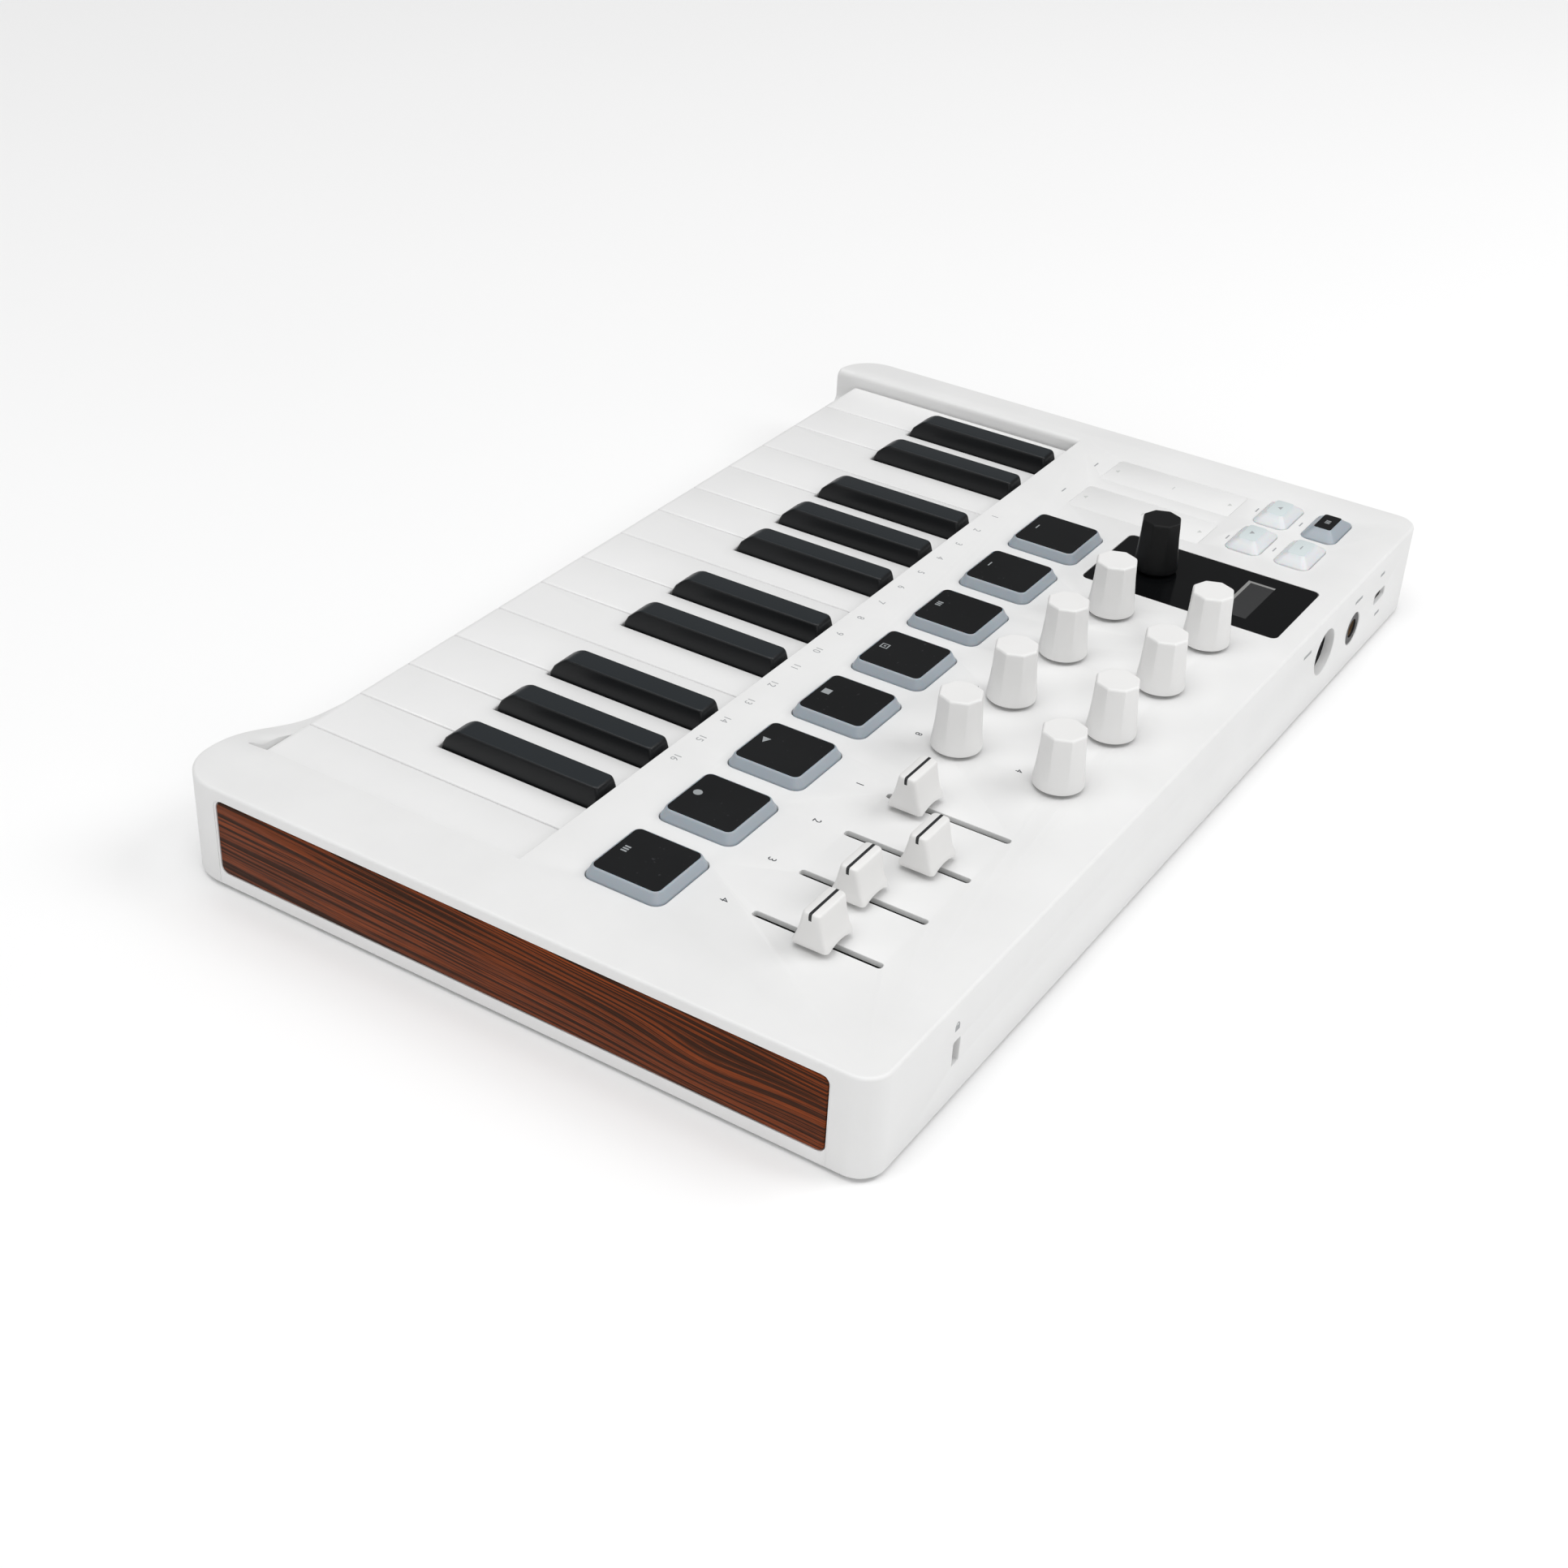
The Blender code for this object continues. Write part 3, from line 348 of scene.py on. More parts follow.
CASE_WHITE = plastic("case_moulding", (0.79, 0.79, 0.787), 0.46, depth=0.000004)
BASE_WHITE = plastic("base_moulding", (0.74, 0.74, 0.735), 0.55, grain=0.0006, depth=0.000012)
STRIP_FILM = plastic("touch_film", (0.79, 0.79, 0.787), 0.46, depth=0.000003)
KEY_WHITE = plastic("key_moulding", (0.82, 0.82, 0.818), 0.34, grain=0.0008, depth=0.0000004, shade=0.02)
# Black keys: upward faces are painted a lighter blue-grey, a painted reflection of the bright surroundings;
# the sides stay near black.
KEY_BLACK = plastic("sharp_moulding", (0.0055, 0.0062, 0.0072), 0.34, grain=0.0003, depth=0.000003,
                    shade=0.2, painted_top_sheen=(0.017, 0.0205, 0.0235), Specular_IOR_Level=0.30)
PAD_TOP = plastic("pad_face", (0.0090, 0.0095, 0.0102), 0.62, grain=0.00025, depth=0.000010, shade=0.25,
                  specks=(0.05, 0.05, 0.055), Specular_IOR_Level=0.16)
PAD_SKIRT = plastic("pad_skirt", srgb(160, 169, 177), 0.42, grain=0.0006, depth=0.000003,
                    Subsurface_Weight=0.25, Subsurface_Scale=0.002)
KNOB_WHITE = plastic("knob_moulding", (0.80, 0.797, 0.79), 0.55, grain=0.0003, depth=0.000008)
KNOB_BLACK = plastic("browse_moulding", (0.0055, 0.0058, 0.0062), 0.48, grain=0.0003, depth=0.000006,
                     shade=0.2, Specular_IOR_Level=0.22)
FADER_WHITE = plastic("fader_moulding", (0.79, 0.785, 0.775), 0.50, grain=0.0003, depth=0.000008)
BUTTON_PALE = plastic("button_pale_silicone", srgb(220, 222, 224), 0.45, grain=0.0006, depth=0.000002,
                      Subsurface_Weight=0.3, Subsurface_Scale=0.003)
BUTTON_FACE = plastic("button_pale_face", srgb(208, 217, 218), 0.50, grain=0.0006, depth=0.000002)
SHIELD_BLACK = plastic("fader_shield", (0.006, 0.006, 0.006), 0.70, grain=0.0004, depth=0.000010, shade=0.2,
                       Specular_IOR_Level=0.2)
GLASS_BLACK = plastic("panel_gloss", (0.0035, 0.0038, 0.0042), 0.14, grain=0.0012, depth=0.0000006, shade=0.1,
                      Specular_IOR_Level=0.15)
WINDOW_GREY = plastic("window_glass", (0.032, 0.0325, 0.0335), 0.14, grain=0.0012, depth=0.0000005, shade=0.1)
# Lighter grey for a strip along two edges of the display window: a painted highlight on its frame.
WINDOW_RIM_HIGHLIGHT = plastic("window_rim_painted_highlight", (0.26, 0.26, 0.255), 0.30, grain=0.0008, depth=0.000002)
SOCKET_BLACK = plastic("socket_moulding", (0.012, 0.012, 0.013), 0.45, grain=0.0005, depth=0.000008,
                       shade=0.2)
RUBBER = plastic("foot_rubber", (0.030, 0.030, 0.032), 0.80, grain=0.0004, depth=0.000020, shade=0.2)
INK_DARK = plastic("ink_dark", srgb(52, 56, 62), 0.60, grain=0.0002, depth=0.000002)
INK_GREY = plastic("ink_grey", srgb(158, 160, 162), 0.60, grain=0.0002, depth=0.000002)
INK_PALE = plastic("ink_pale", srgb(198, 200, 198), 0.60, grain=0.0002, depth=0.000002)
INK_BLACK = plastic("ink_black", srgb(30, 31, 33), 0.50, grain=0.0002, depth=0.000002)
PAD_INK = plastic("pad_ink", srgb(150, 154, 156), 0.55, grain=0.0002, depth=0.000002)
STEEL = metal("plated_steel", (0.58, 0.58, 0.58), 0.32)
BRASS = metal("contact_brass", (0.42, 0.29, 0.18), 0.42)
WOOD = wood("cheek_veneer")
BOARD = board("solder_mask")


# Outlines

def arc(cx, cy, radius, start, end, steps):
    points = []
    for step in range(steps + 1):
        angle = math.radians(start + (end - start) * step / steps)
        points.append((cx + radius * math.cos(angle), cy + radius * math.sin(angle)))
    return points


def rounded_rect(x0, y0, x1, y1, radii, steps):
    a, b, c, d = radii
    points = arc(x0 + a, y0 + a, a, 180, 270, steps)
    points += arc(x1 - b, y0 + b, b, 270, 360, steps)
    points += arc(x1 - c, y1 - c, c, 0, 90, steps)
    points += arc(x0 + d, y1 - d, d, 90, 180, steps)
    return points


def pill(cx, cy, width, depth, radius, steps=6):
    x, y = width / 2, depth / 2
    return rounded_rect(cx - x, cy - y, cx + x, cy + y, (radius,) * 4, steps)


def circle(cx, cy, radius, count=48):
    return arc(cx, cy, radius, 0, 360 - 360 / count, count - 1)


def case_outline(inset):
    x, y = WIDTH / 2 - inset, DEPTH / 2 - inset
    front, rear = FRONT_CORNER - inset, REAR_CORNER - inset
    return rounded_rect(-x, -y, x, y, (front, front, rear, rear), CORNER_STEPS)


def quarter(step=15):
    """(1 - cos, 1 - sin) over a quarter turn: the two offsets of a rounded edge."""
    for degrees in range(0, 91, step):
        angle = math.radians(degrees)
        yield 1 - math.cos(angle), 1 - math.sin(angle)


# Solids

def loft(bm, rings):
    loops = [[bm.verts.new(point) for point in ring] for ring in rings]
    count = len(loops[0])
    for low, high in zip(loops, loops[1:]):
        for i in range(count):
            j = (i + 1) % count
            bm.faces.new((low[i], low[j], high[j], high[i]))
    bm.faces.new(loops[0][::-1])
    bm.faces.new(loops[-1])


def flat(outline, z):
    return [(x, y, z) for x, y in outline]


def prism(bm, outline, low, high, axis="Z"):
    turn = {
        "Z": lambda p, t: (p[0], p[1], t),
        "X": lambda p, t: (t, p[0], p[1]),
        "Y": lambda p, t: (p[0], t, p[1]),
    }[axis]
    loft(bm, [[turn(p, low) for p in outline], [turn(p, high) for p in outline]])


def block(bm, low, high):
    outline = [(low[0], low[1]), (high[0], low[1]), (high[0], high[1]), (low[0], high[1])]
    prism(bm, outline, low[2], high[2])


def flared(bm, outline, surface, floor, outward, axis="Z", soft=SOFT):
    """Cutter for an opening whose rim is rounded: outline(spread) gives the plan at a spread."""
    turn = {"Z": lambda p, t: (p[0], p[1], t), "Y": lambda p, t: (p[0], t, p[1])}[axis]
    rings = [[turn(p, floor) for p in outline(0.0)]]
    for across, down in quarter(30):
        rings.append([turn(p, surface - outward * soft * down) for p in outline(soft * across)])
    rings.append([turn(p, surface + outward * FAR) for p in outline(soft)])
    loft(bm, rings)


def to_object(bm, name):
    bmesh.ops.recalc_face_normals(bm, faces=bm.faces)
    mesh = bpy.data.meshes.new(name)
    bm.to_mesh(mesh)
    bm.free()
    obj = bpy.data.objects.new(name, mesh)
    bpy.context.scene.collection.objects.link(obj)
    return obj


def carve(obj, bm, operation="DIFFERENCE"):
    """Boolean with the solid in bm, applied at once."""
    tool = to_object(bm, "tool")
    modifier = obj.modifiers.new("carve", "BOOLEAN")
    modifier.operation = operation
    modifier.solver = "EXACT"
    modifier.object = tool
    apply_modifiers(obj)
    bpy.data.objects.remove(tool, do_unlink=True)


def apply_modifiers(obj):
    evaluated = obj.evaluated_get(bpy.context.evaluated_depsgraph_get())
    mesh = bpy.data.meshes.new_from_object(evaluated)
    obj.modifiers.clear()
    obj.data = mesh


def dress(obj, mat, body=CASE, degrees=32, nodes=()):
    """Smooth shading, material, body and what the piece stands for."""
    obj.data.materials.clear()
    obj.data.materials.append(mat)
    obj.data.shade_smooth()
    obj.data.set_sharp_from_angle(angle=math.radians(degrees))
    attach(obj, body)
    if nodes:
        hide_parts(*nodes)
    return obj


def centre_of(name):
    low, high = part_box(name)
    return (low + high) / 2


# Case

def ease(start, end, x):
    """Smooth step from 0 at start to 1 at end."""
    t = min(1.0, max(0.0, (x - start) / (end - start)))
    return t * t * (3 - 2 * t)


def lip_height(x):
    """Top of the front wall: level, then a gentle ramp, then the scoop up to the right cheek."""
    scoop_rise = CASE_TOP - LIP_Z - LIP_RAMP_RISE
    return LIP_Z + LIP_RAMP_RISE * ease(*LIP_RAMP, x) + scoop_rise * ease(*LIP_SCOOP, x)


def lip_profile():
    fillet_x = WELL_LEFT + LIP_FILLET
    points = [(WELL_LEFT - WELL_EDGE, CASE_TOP + FAR), (WELL_LEFT - WELL_EDGE, CASE_TOP)]
    for degrees in (22, 45, 68, 90):
        angle = math.radians(degrees)
        points.append((WELL_LEFT - WELL_EDGE * (1 - math.sin(angle)),
                       CASE_TOP - WELL_EDGE * (1 - math.cos(angle))))
    points += arc(fillet_x, LIP_Z + LIP_FILLET, LIP_FILLET, 180, 270, 10)
    steps = 48
    for step in range(steps + 1):
        x = LIP_RAMP[0] + (LIP_SCOOP[1] - LIP_RAMP[0]) * step / steps
        points.append((x, lip_height(x)))
    points.append((LIP_SCOOP[1], CASE_TOP + FAR))
    return points


def roll_drop(x):
    """How far the inner edge of the lip rolls down: to the white keys, or out at the right cheek."""
    over = max(LIP_ROLL_LEAST, lip_height(x) - KEY_LEVEL)
    return over * ease(WELL_LEFT, WELL_LEFT + LIP_FILLET, x) * (1 - ease(LIP_ROLL_END, WELL_RIGHT, x))


def lip_slice(y, drop, fade=0.0, roll=0.0):
    """Section of the lip cutter at y; fade 1 lifts it clear of the cheek's top."""
    clear = CASE_TOP + 0.00002
    left = WELL_LEFT + 0.0005 if fade else -WIDTH
    points = []
    for x, z in lip_profile():
        low = z - roll * roll_drop(x)
        points.append((max(x, left), y, low - drop + max(0.0, clear - low) * fade))
    return points


def lip_cutter():
    """Cut above the front lip; it dips at the front face and runs out into the right cheek."""
    bm = bmesh.new()
    face, inner = -DEPTH / 2, WELL_FRONT + 0.0001
    slices = [lip_slice(face - FAR, TOP_EDGE)]
    slices += [lip_slice(face + TOP_EDGE * across, TOP_EDGE * down) for across, down in quarter()]
    slices += [lip_slice(inner - LIP_ROLL * back, 0.0, 0.0, share) for share, back in quarter()]
    steps = 10
    for step in range(1, steps + 1):
        slices.append(lip_slice(inner + LIP_RUNOUT * step / steps, 0.0, ease(0.0, 1.0, step / steps), 1.0))
    loft(bm, slices)
    return bm


def well_cutter():
    bm = bmesh.new()
    rings = []
    heights = [(0.0, SEAM_Z - FAR)]
    heights += [(WELL_EDGE * across, CASE_TOP - WELL_EDGE * down) for across, down in quarter()]
    heights.append((WELL_EDGE, CASE_TOP + FAR))
    for spread_now, z in heights:
        x0, x1 = WELL_LEFT - spread_now, WELL_RIGHT + spread_now * WELL_RIGHT_EDGE
        y1 = WELL_REAR + spread_now * 0.2
        rings.append([(x0, WELL_FRONT, z), (x1, WELL_FRONT, z), (x1, y1, z), (x0, y1, z)])
    loft(bm, rings)
    return bm


def panel_cutter():
    """Openings and recesses of the control surface, with softened rims."""
    bm = bmesh.new()
    floor = CASE_TOP - SKIN - 0.001
    for index in range(1, PAD_COUNT + 1):
        low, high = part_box(f"pad_{index}")
        centre, size = (low + high) / 2, high.x - low.x + 2 * PLAY
        flared(bm, lambda s: pill(centre.x, centre.y, size + 2 * s, size + 2 * s, OPENING_CORNER + s),
               CASE_TOP, floor, 1)
        centre = centre_of(f"knob_{index}")
        flared(bm, lambda s: circle(centre.x, centre.y, SHAFT_OPENING + s, 32), CASE_TOP, floor, 1)
    for index in range(1, FADER_COUNT + 1):
        x = centre_of(f"fader_cap_{index}").x
        flared(bm, lambda s: pill(x, SLOT_Y, SLOT_WIDTH + 2 * s, SLOT_LENGTH + 2 * s, SLOT_CORNER + s),
               CASE_TOP, floor, 1)
    for name in BUTTONS:
        low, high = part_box(name)
        centre = (low + high) / 2
        width, depth = high.x - low.x + 2 * PLAY, high.y - low.y + 2 * PLAY
        flared(bm, lambda s: pill(centre.x, centre.y, width + 2 * s, depth + 2 * s, OPENING_CORNER + s),
               CASE_TOP, floor, 1)
    low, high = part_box("display_panel")
    prism(bm, rounded_rect(low.x - PLAY, low.y - PLAY, high.x + PLAY, high.y + PLAY, (0.0022,) * 4, 6),
          low.z - PLAY, CASE_TOP + FAR)
    for x in STRIP_X:
        centre = sum(STRIP_Y) / 2
        length = STRIP_Y[1] - STRIP_Y[0]
        flared(bm, lambda s: pill(x, centre, STRIP_WIDTH + 2 * s, length + 2 * s, 0.0014 + s), CASE_TOP,
               CASE_TOP - STRIP_DEPTH, 1, soft=0.00015)
    return bm


def fader_pocket_cutter():
    """Thins the surface below each fader slot; a black shield with a slit lies in the pocket."""
    bm = bmesh.new()
    half_width, half_length = POCKET_HALF
    for index in range(1, FADER_COUNT + 1):
        x = centre_of(f"fader_cap_{index}").x
        block(bm, (x - half_width, SLOT_Y - half_length, CASE_TOP - SKIN - 0.001),
              (x + half_width, SLOT_Y + half_length, CASE_TOP - SLOT_DEPTH))
    return bm


def rear_cutter():
    bm = bmesh.new()
    face, floor = DEPTH / 2, DEPTH / 2 - REAR_WALL - 0.001
    flared(bm, lambda s: circle(DIN[0], DIN[1], DIN[2] + PLAY + s), face, floor, 1, "Y")
    flared(bm, lambda s: circle(JACK[0], JACK[1], JACK[2] + PLAY + s), face, floor, 1, "Y")
    width, height = PORT[2] + 2 * PLAY, PORT[3] + 2 * PLAY
    flared(bm, lambda s: pill(PORT[0], PORT[1], width + 2 * s, height + 2 * s, height * 0.45 + s),
           face, floor, 1, "Y")
    flared(bm, lambda s: pill(LOCK[0], LOCK[1], LOCK[2] + 2 * s, LOCK[3] + 2 * s, 0.0006 + s),
           face, floor, 1, "Y")
    return bm


def rebate_cutter():
    bm = bmesh.new()
    prism(bm, case_outline(PLATE_INSET - PLAY), BASE_Z - FAR, SEAM_Z)
    return bm


def cavity_cutter():
    bm = bmesh.new()
    roof, side = CASE_TOP - SKIN, WIDTH / 2 - SIDE_WALL
    low = SEAM_Z - FAR
    block(bm, (-side, WELL_REAR + 0.003, low), (side, DEPTH / 2 - REAR_WALL, roof))
    return bm


def cheek_cutter():
    bm = bmesh.new()
    roof, side = CASE_TOP - SKIN, WIDTH / 2 - SIDE_WALL
    low, front = SEAM_Z - FAR, -DEPTH / 2 + FRONT_CORNER
    block(bm, (-side, front, low), (WELL_LEFT - SKIN, WELL_REAR, roof))
    block(bm, (WELL_RIGHT + SKIN, front, low), (side, WELL_REAR, roof))
    block(bm, (WELL_LEFT, WELL_REAR - 0.001, low), (WELL_RIGHT, WELL_REAR + 0.004, roof))
    return bm


def wood_outline(spread_now):
    return rounded_rect(WOOD_Y[0] - spread_now, WOOD_Z[0] - spread_now, WOOD_Y[1] + spread_now,
                        WOOD_Z[1] + spread_now, (WOOD_CORNER + spread_now,) * 4, 6)


def wood_cutter():
    """Recess of each inlay, and the shallow step that runs from it down to the bottom edge."""
    bm = bmesh.new()
    for side in (1, -1):
        y0, y1, step = WOOD_Y[0] - WOOD_STEP[0], WOOD_Y[1] + WOOD_STEP[0], WOOD_STEP[1]
        top, corner = WOOD_Z[1] + WOOD_STEP[0] * 0.5, WOOD_CORNER + 0.0002
        outline = [(y0, -FAR), (y1, -FAR)] + arc(y1 - corner, top - corner, corner, 0, 90, 6)
        outline += arc(y0 + corner, top - corner, corner, 90, 180, 6)
        spans = sorted((side * (WIDTH / 2 - step), side * (WIDTH / 2 + FAR)))
        prism(bm, outline, spans[0], spans[1], "X")
    return bm


def inlay_cutter():
    bm = bmesh.new()
    for side in (1, -1):
        rings = []
        face = WIDTH / 2 - WOOD_STEP[1]
        for x, spread_now in ((WIDTH / 2 - WOOD_RECESS, PLAY), (face - SOFT, PLAY),
                              (face - SOFT * 0.3, PLAY + SOFT * 0.3), (face, PLAY + SOFT),
                              (face + FAR, PLAY + SOFT)):
            rings.append([(side * x, y, z) for y, z in wood_outline(spread_now)])
        loft(bm, rings)
    return bm


def build_shell():
    bm = bmesh.new()
    rings = [flat(case_outline(FOOT_EDGE * inward), BASE_Z + FOOT_EDGE * up) for up, inward in quarter(30)]
    rings += [flat(case_outline(TOP_EDGE * inward), CASE_TOP - TOP_EDGE * down) for inward, down in quarter()]
    loft(bm, rings)
    shell = to_object(bm, "case_shell")
    for cutter in (lip_cutter, well_cutter, rebate_cutter, cavity_cutter, cheek_cutter, panel_cutter,
                   fader_pocket_cutter, rear_cutter, wood_cutter, inlay_cutter):
        carve(shell, cutter())
    bm = bmesh.new()
    browse = centre_of("browse_knob")
    prism(bm, circle(browse.x, browse.y, SHAFT_OPENING, 32), CASE_TOP - SKIN - 0.001, CASE_TOP)
    carve(shell, bm)
    dress(shell, CASE_WHITE, nodes=["top_case"])


def build_base():
    top = SEAM_Z - PLAY
    bm = bmesh.new()
    loft(bm, [flat(case_outline(PLATE_INSET + SOFT), BASE_Z), flat(case_outline(PLATE_INSET), BASE_Z + SOFT),
              flat(case_outline(PLATE_INSET), top)])
    base = to_object(bm, "base_plate")
    bm = bmesh.new()
    for x, y in SCREWS:
        flared(bm, lambda s: circle(x, y, SCREW_RECESS + s, 32), BASE_Z, BASE_Z + SCREW_DEPTH, -1)
    carve(base, bm)
    dress(base, BASE_WHITE, nodes=["bottom_case"])
    for number, (x, y) in enumerate(FEET, start=1):
        bm = bmesh.new()
        loft(bm, [flat(circle(x, y, radius), z) for z, radius in
                  ((0.0, 0.0062), (0.0001, 0.0066), (0.0004, 0.0069), (0.0010, 0.0070), (BASE_Z, 0.0070))])
        dress(to_object(bm, f"rubber_foot_{number}"), RUBBER)
    for number, (x, y) in enumerate(SCREWS, start=1):
        bm = bmesh.new()
        loft(bm, [flat(circle(x, y, radius, 32), z) for z, radius in
                  ((BASE_Z + 0.0003, 0.0020), (BASE_Z + 0.0005, 0.0026), (BASE_Z + SCREW_DEPTH, 0.0028))])
        screw = to_object(bm, f"base_screw_{number}")
        for half_x, half_y in (SCREW_CROSS, SCREW_CROSS[::-1]):
            bm = bmesh.new()
            block(bm, (x - half_x, y - half_y, 0.0), (x + half_x, y + half_y, BASE_Z + 0.0008))
            carve(screw, bm)
        dress(screw, STEEL)


def build_wood():
    for side, name in ((1, "right"), (-1, "left")):
        low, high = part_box(f"wood_side_{name}")
        inner, outer = (low.x, high.x) if side > 0 else (high.x, low.x)
        bm = bmesh.new()
        rings = []
        for x, inset in ((inner, 0.0), (outer - side * 0.00025, 0.0), (outer - side * 0.00008, -0.00008),
                         (outer, -0.00025)):
            rings.append([(x, y, z) for y, z in wood_outline(inset)])
        loft(bm, rings)
        dress(to_object(bm, f"wood_inlay_{name}"), WOOD, nodes=[f"wood_side_{name}"])


# Keys

def sharp_centres():
    return [centre_of(f"black_key_{index:02d}").x for index in range(1, BLACK_COUNT + 1)]


def white_plan(low, high, shanks, side, nose):
    x0, x1 = low.x + side - KEY_SWELL, high.x - side + KEY_SWELL
    left, right, step_y = shanks
    corner = 0.0005
    points = [(x0, low.y + nose + corner), (x0 + corner * 0.3, low.y + nose + corner * 0.3),
              (x0 + corner, low.y + nose), (x1 - corner, low.y + nose),
              (x1 - corner * 0.3, low.y + nose + corner * 0.3), (x1, low.y + nose + corner)]
    if right is not None:
        points += [(x1, step_y - side), (right - side, step_y - side)]
        x1 = right - side
    points.append((x1, high.y))
    if left is not None:
        points += [(left + side, high.y), (left + side, step_y - side), (x0, step_y - side)]
    else:
        points.append((x0, high.y))
    return points


def rounding(radius, top, z):
    rise = max(0.0, z - (top - radius))
    return radius - math.sqrt(max(0.0, radius * radius - rise * rise))


def hinge_cutter():
    outline = arc(HINGE_Y, HINGE_Z, HINGE_BORE, 0, 180, 16)
    outline += [(HINGE_Y - HINGE_BORE, 0.005), (HINGE_Y + HINGE_BORE, 0.005)]
    bm = bmesh.new()
    prism(bm, outline, -0.2, 0.2, "X")
    return bm


def build_white_keys():
    sharps = sharp_centres()
    sharp_low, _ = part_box("black_key_01")
    for index in range(1, WHITE_COUNT + 1):
        name = f"white_key_{index:02d}"
        low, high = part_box(name)
        left = next((x + SHARP_REACH for x in sharps if abs(x - low.x) < 0.006), None)
        right = next((x - SHARP_REACH for x in sharps if abs(x - high.x) < 0.006), None)
        shanks = (left, right, sharp_low.y - SHARP_STEP)
        top = high.z
        levels = [low.z] + [top - KEY_NOSE * (1 - math.sin(math.radians(a))) for a in (0, 12, 24, 36)]
        levels += [top - KEY_EDGE * (1 - math.sin(math.radians(a))) for a in (0, 30, 60, 90)]
        bm = bmesh.new()
        rings = []
        for z in levels:
            plan = white_plan(low, high, shanks, rounding(KEY_EDGE, top, z), rounding(KEY_NOSE, top, z))
            rings.append(flat(plan, z))
        loft(bm, rings)
        key = to_object(bm, f"natural_{index:02d}")
        bm = bmesh.new()
        block(bm, (low.x + KEY_SKIN, low.y + KEY_SKIN, low.z - FAR),
              (high.x - KEY_SKIN, sharp_low.y - SHARP_STEP - KEY_SKIN, top - KEY_SKIN))
        carve(key, bm)
        carve(key, hinge_cutter())
        dress(key, KEY_WHITE, name, nodes=[name])


def build_black_keys():
    for index in range(1, BLACK_COUNT + 1):
        name = f"black_key_{index:02d}"
        low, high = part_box(name)
        x = (low.x + high.x) / 2
        bm = bmesh.new()
        rings = []
        for z, half, front, rear, corner in SHARP_SECTIONS:
            outline = rounded_rect(x - half, low.y + front, x + half, SHARP_REAR - rear, (corner,) * 4, 4)
            rings.append(flat(outline, z))
        loft(bm, rings)
        key = to_object(bm, f"sharp_{index:02d}")
        bm = bmesh.new()
        block(bm, (x - 0.0046, low.y + 0.0003, low.z), (x + 0.0046, high.y, SHARP_SHANK_TOP))
        carve(key, bm, "UNION")
        carve(key, hinge_cutter())
        dress(key, KEY_BLACK, name, 28, [name])


# Controls

def square_icon(bm, kind, x, y, z, size):
    """Raised generic transport or mode icon."""
    top, low = z + INK_HIGH, z - INK_LOW
    half = size / 2
    if kind == "dot":
        prism(bm, circle(x, y, half, 32), low, top)
    elif kind == "play":
        prism(bm, [(x - half, y - half), (x + half, y), (x - half, y + half)], low, top)
    elif kind == "stop":
        block(bm, (x - half, y - half, low), (x + half, y + half, top))
    elif kind == "loop":
        width = size * 0.14
        for y0 in (y - half, y + half - width):
            block(bm, (x - half, y0, low), (x + half, y0 + width, top))
        for x0 in (x - half, x + half - width):
            block(bm, (x0, y - half + width * 1.1, low), (x0 + width, y + half - width * 1.1, top))
        block(bm, (x - half * 0.25, y - half * 0.25, low), (x + half * 0.25, y + half * 0.25, top))
    elif kind == "bars":
        for step in range(3):
            x0 = x - half + step * size * 0.38
            block(bm, (x0, y - half * 0.7, low), (x0 + size * 0.22, y + half * 0.7, top))
    elif kind == "dash":
        block(bm, (x - half, y - half * 0.16, low), (x + half, y + half * 0.16, top))
    elif kind == "up":
        prism(bm, [(x - half, y - half * 0.6), (x + half, y - half * 0.6), (x, y + half * 0.6)], low, top)
    elif kind == "down":
        prism(bm, [(x - half, y + half * 0.6), (x, y - half * 0.6), (x + half, y + half * 0.6)], low, top)


def pad_loft(bm, centre, sections):
    loft(bm, [flat(pill(centre.x, centre.y, size, size, corner, 8), z) for z, size, corner in sections])


def build_pads():
    kinds = {8: "bars", 7: "dot", 6: "play", 5: "stop", 4: "loop", 3: "bars", 2: "dash", 1: "dash"}
    for index in range(1, PAD_COUNT + 1):
        name = f"pad_{index}"
        low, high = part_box(name)
        centre = (low + high) / 2
        bm = bmesh.new()
        pad_loft(bm, centre, ((low.z, 0.0240, 0.0030),) + PAD_SKIRT_SECTIONS)
        dress(to_object(bm, f"pad_skirt_{index}"), PAD_SKIRT, name, nodes=[name])
        bm = bmesh.new()
        pad_loft(bm, centre, PAD_FACE_SECTIONS)
        dress(to_object(bm, f"pad_face_{index}"), PAD_TOP, name)
        bm = bmesh.new()
        square_icon(bm, kinds[index], centre.x + PAD_ICON_SHIFT[0], centre.y + PAD_ICON_SHIFT[1],
                    PAD_FACE_TOP, PAD_ICON_SIZE)
        dress(to_object(bm, f"pad_icon_{index}"), PAD_INK, name)


def knob_ring(x, y, z, radius, facet, count=96):
    """Circle at facet 0, octagon with rounded corners at facet 1."""
    points = []
    for i in range(count):
        angle = 2 * math.pi * i / count
        local = (angle + math.pi / 8) % (math.pi / 4) - math.pi / 8
        flat_radius = min(radius * math.cos(math.pi / 8) / math.cos(local), radius * 0.992)
        reach = radius + (flat_radius - radius) * facet
        turn = angle + math.pi / 8
        points.append((x + reach * math.cos(turn), y + reach * math.sin(turn), z))
    return points


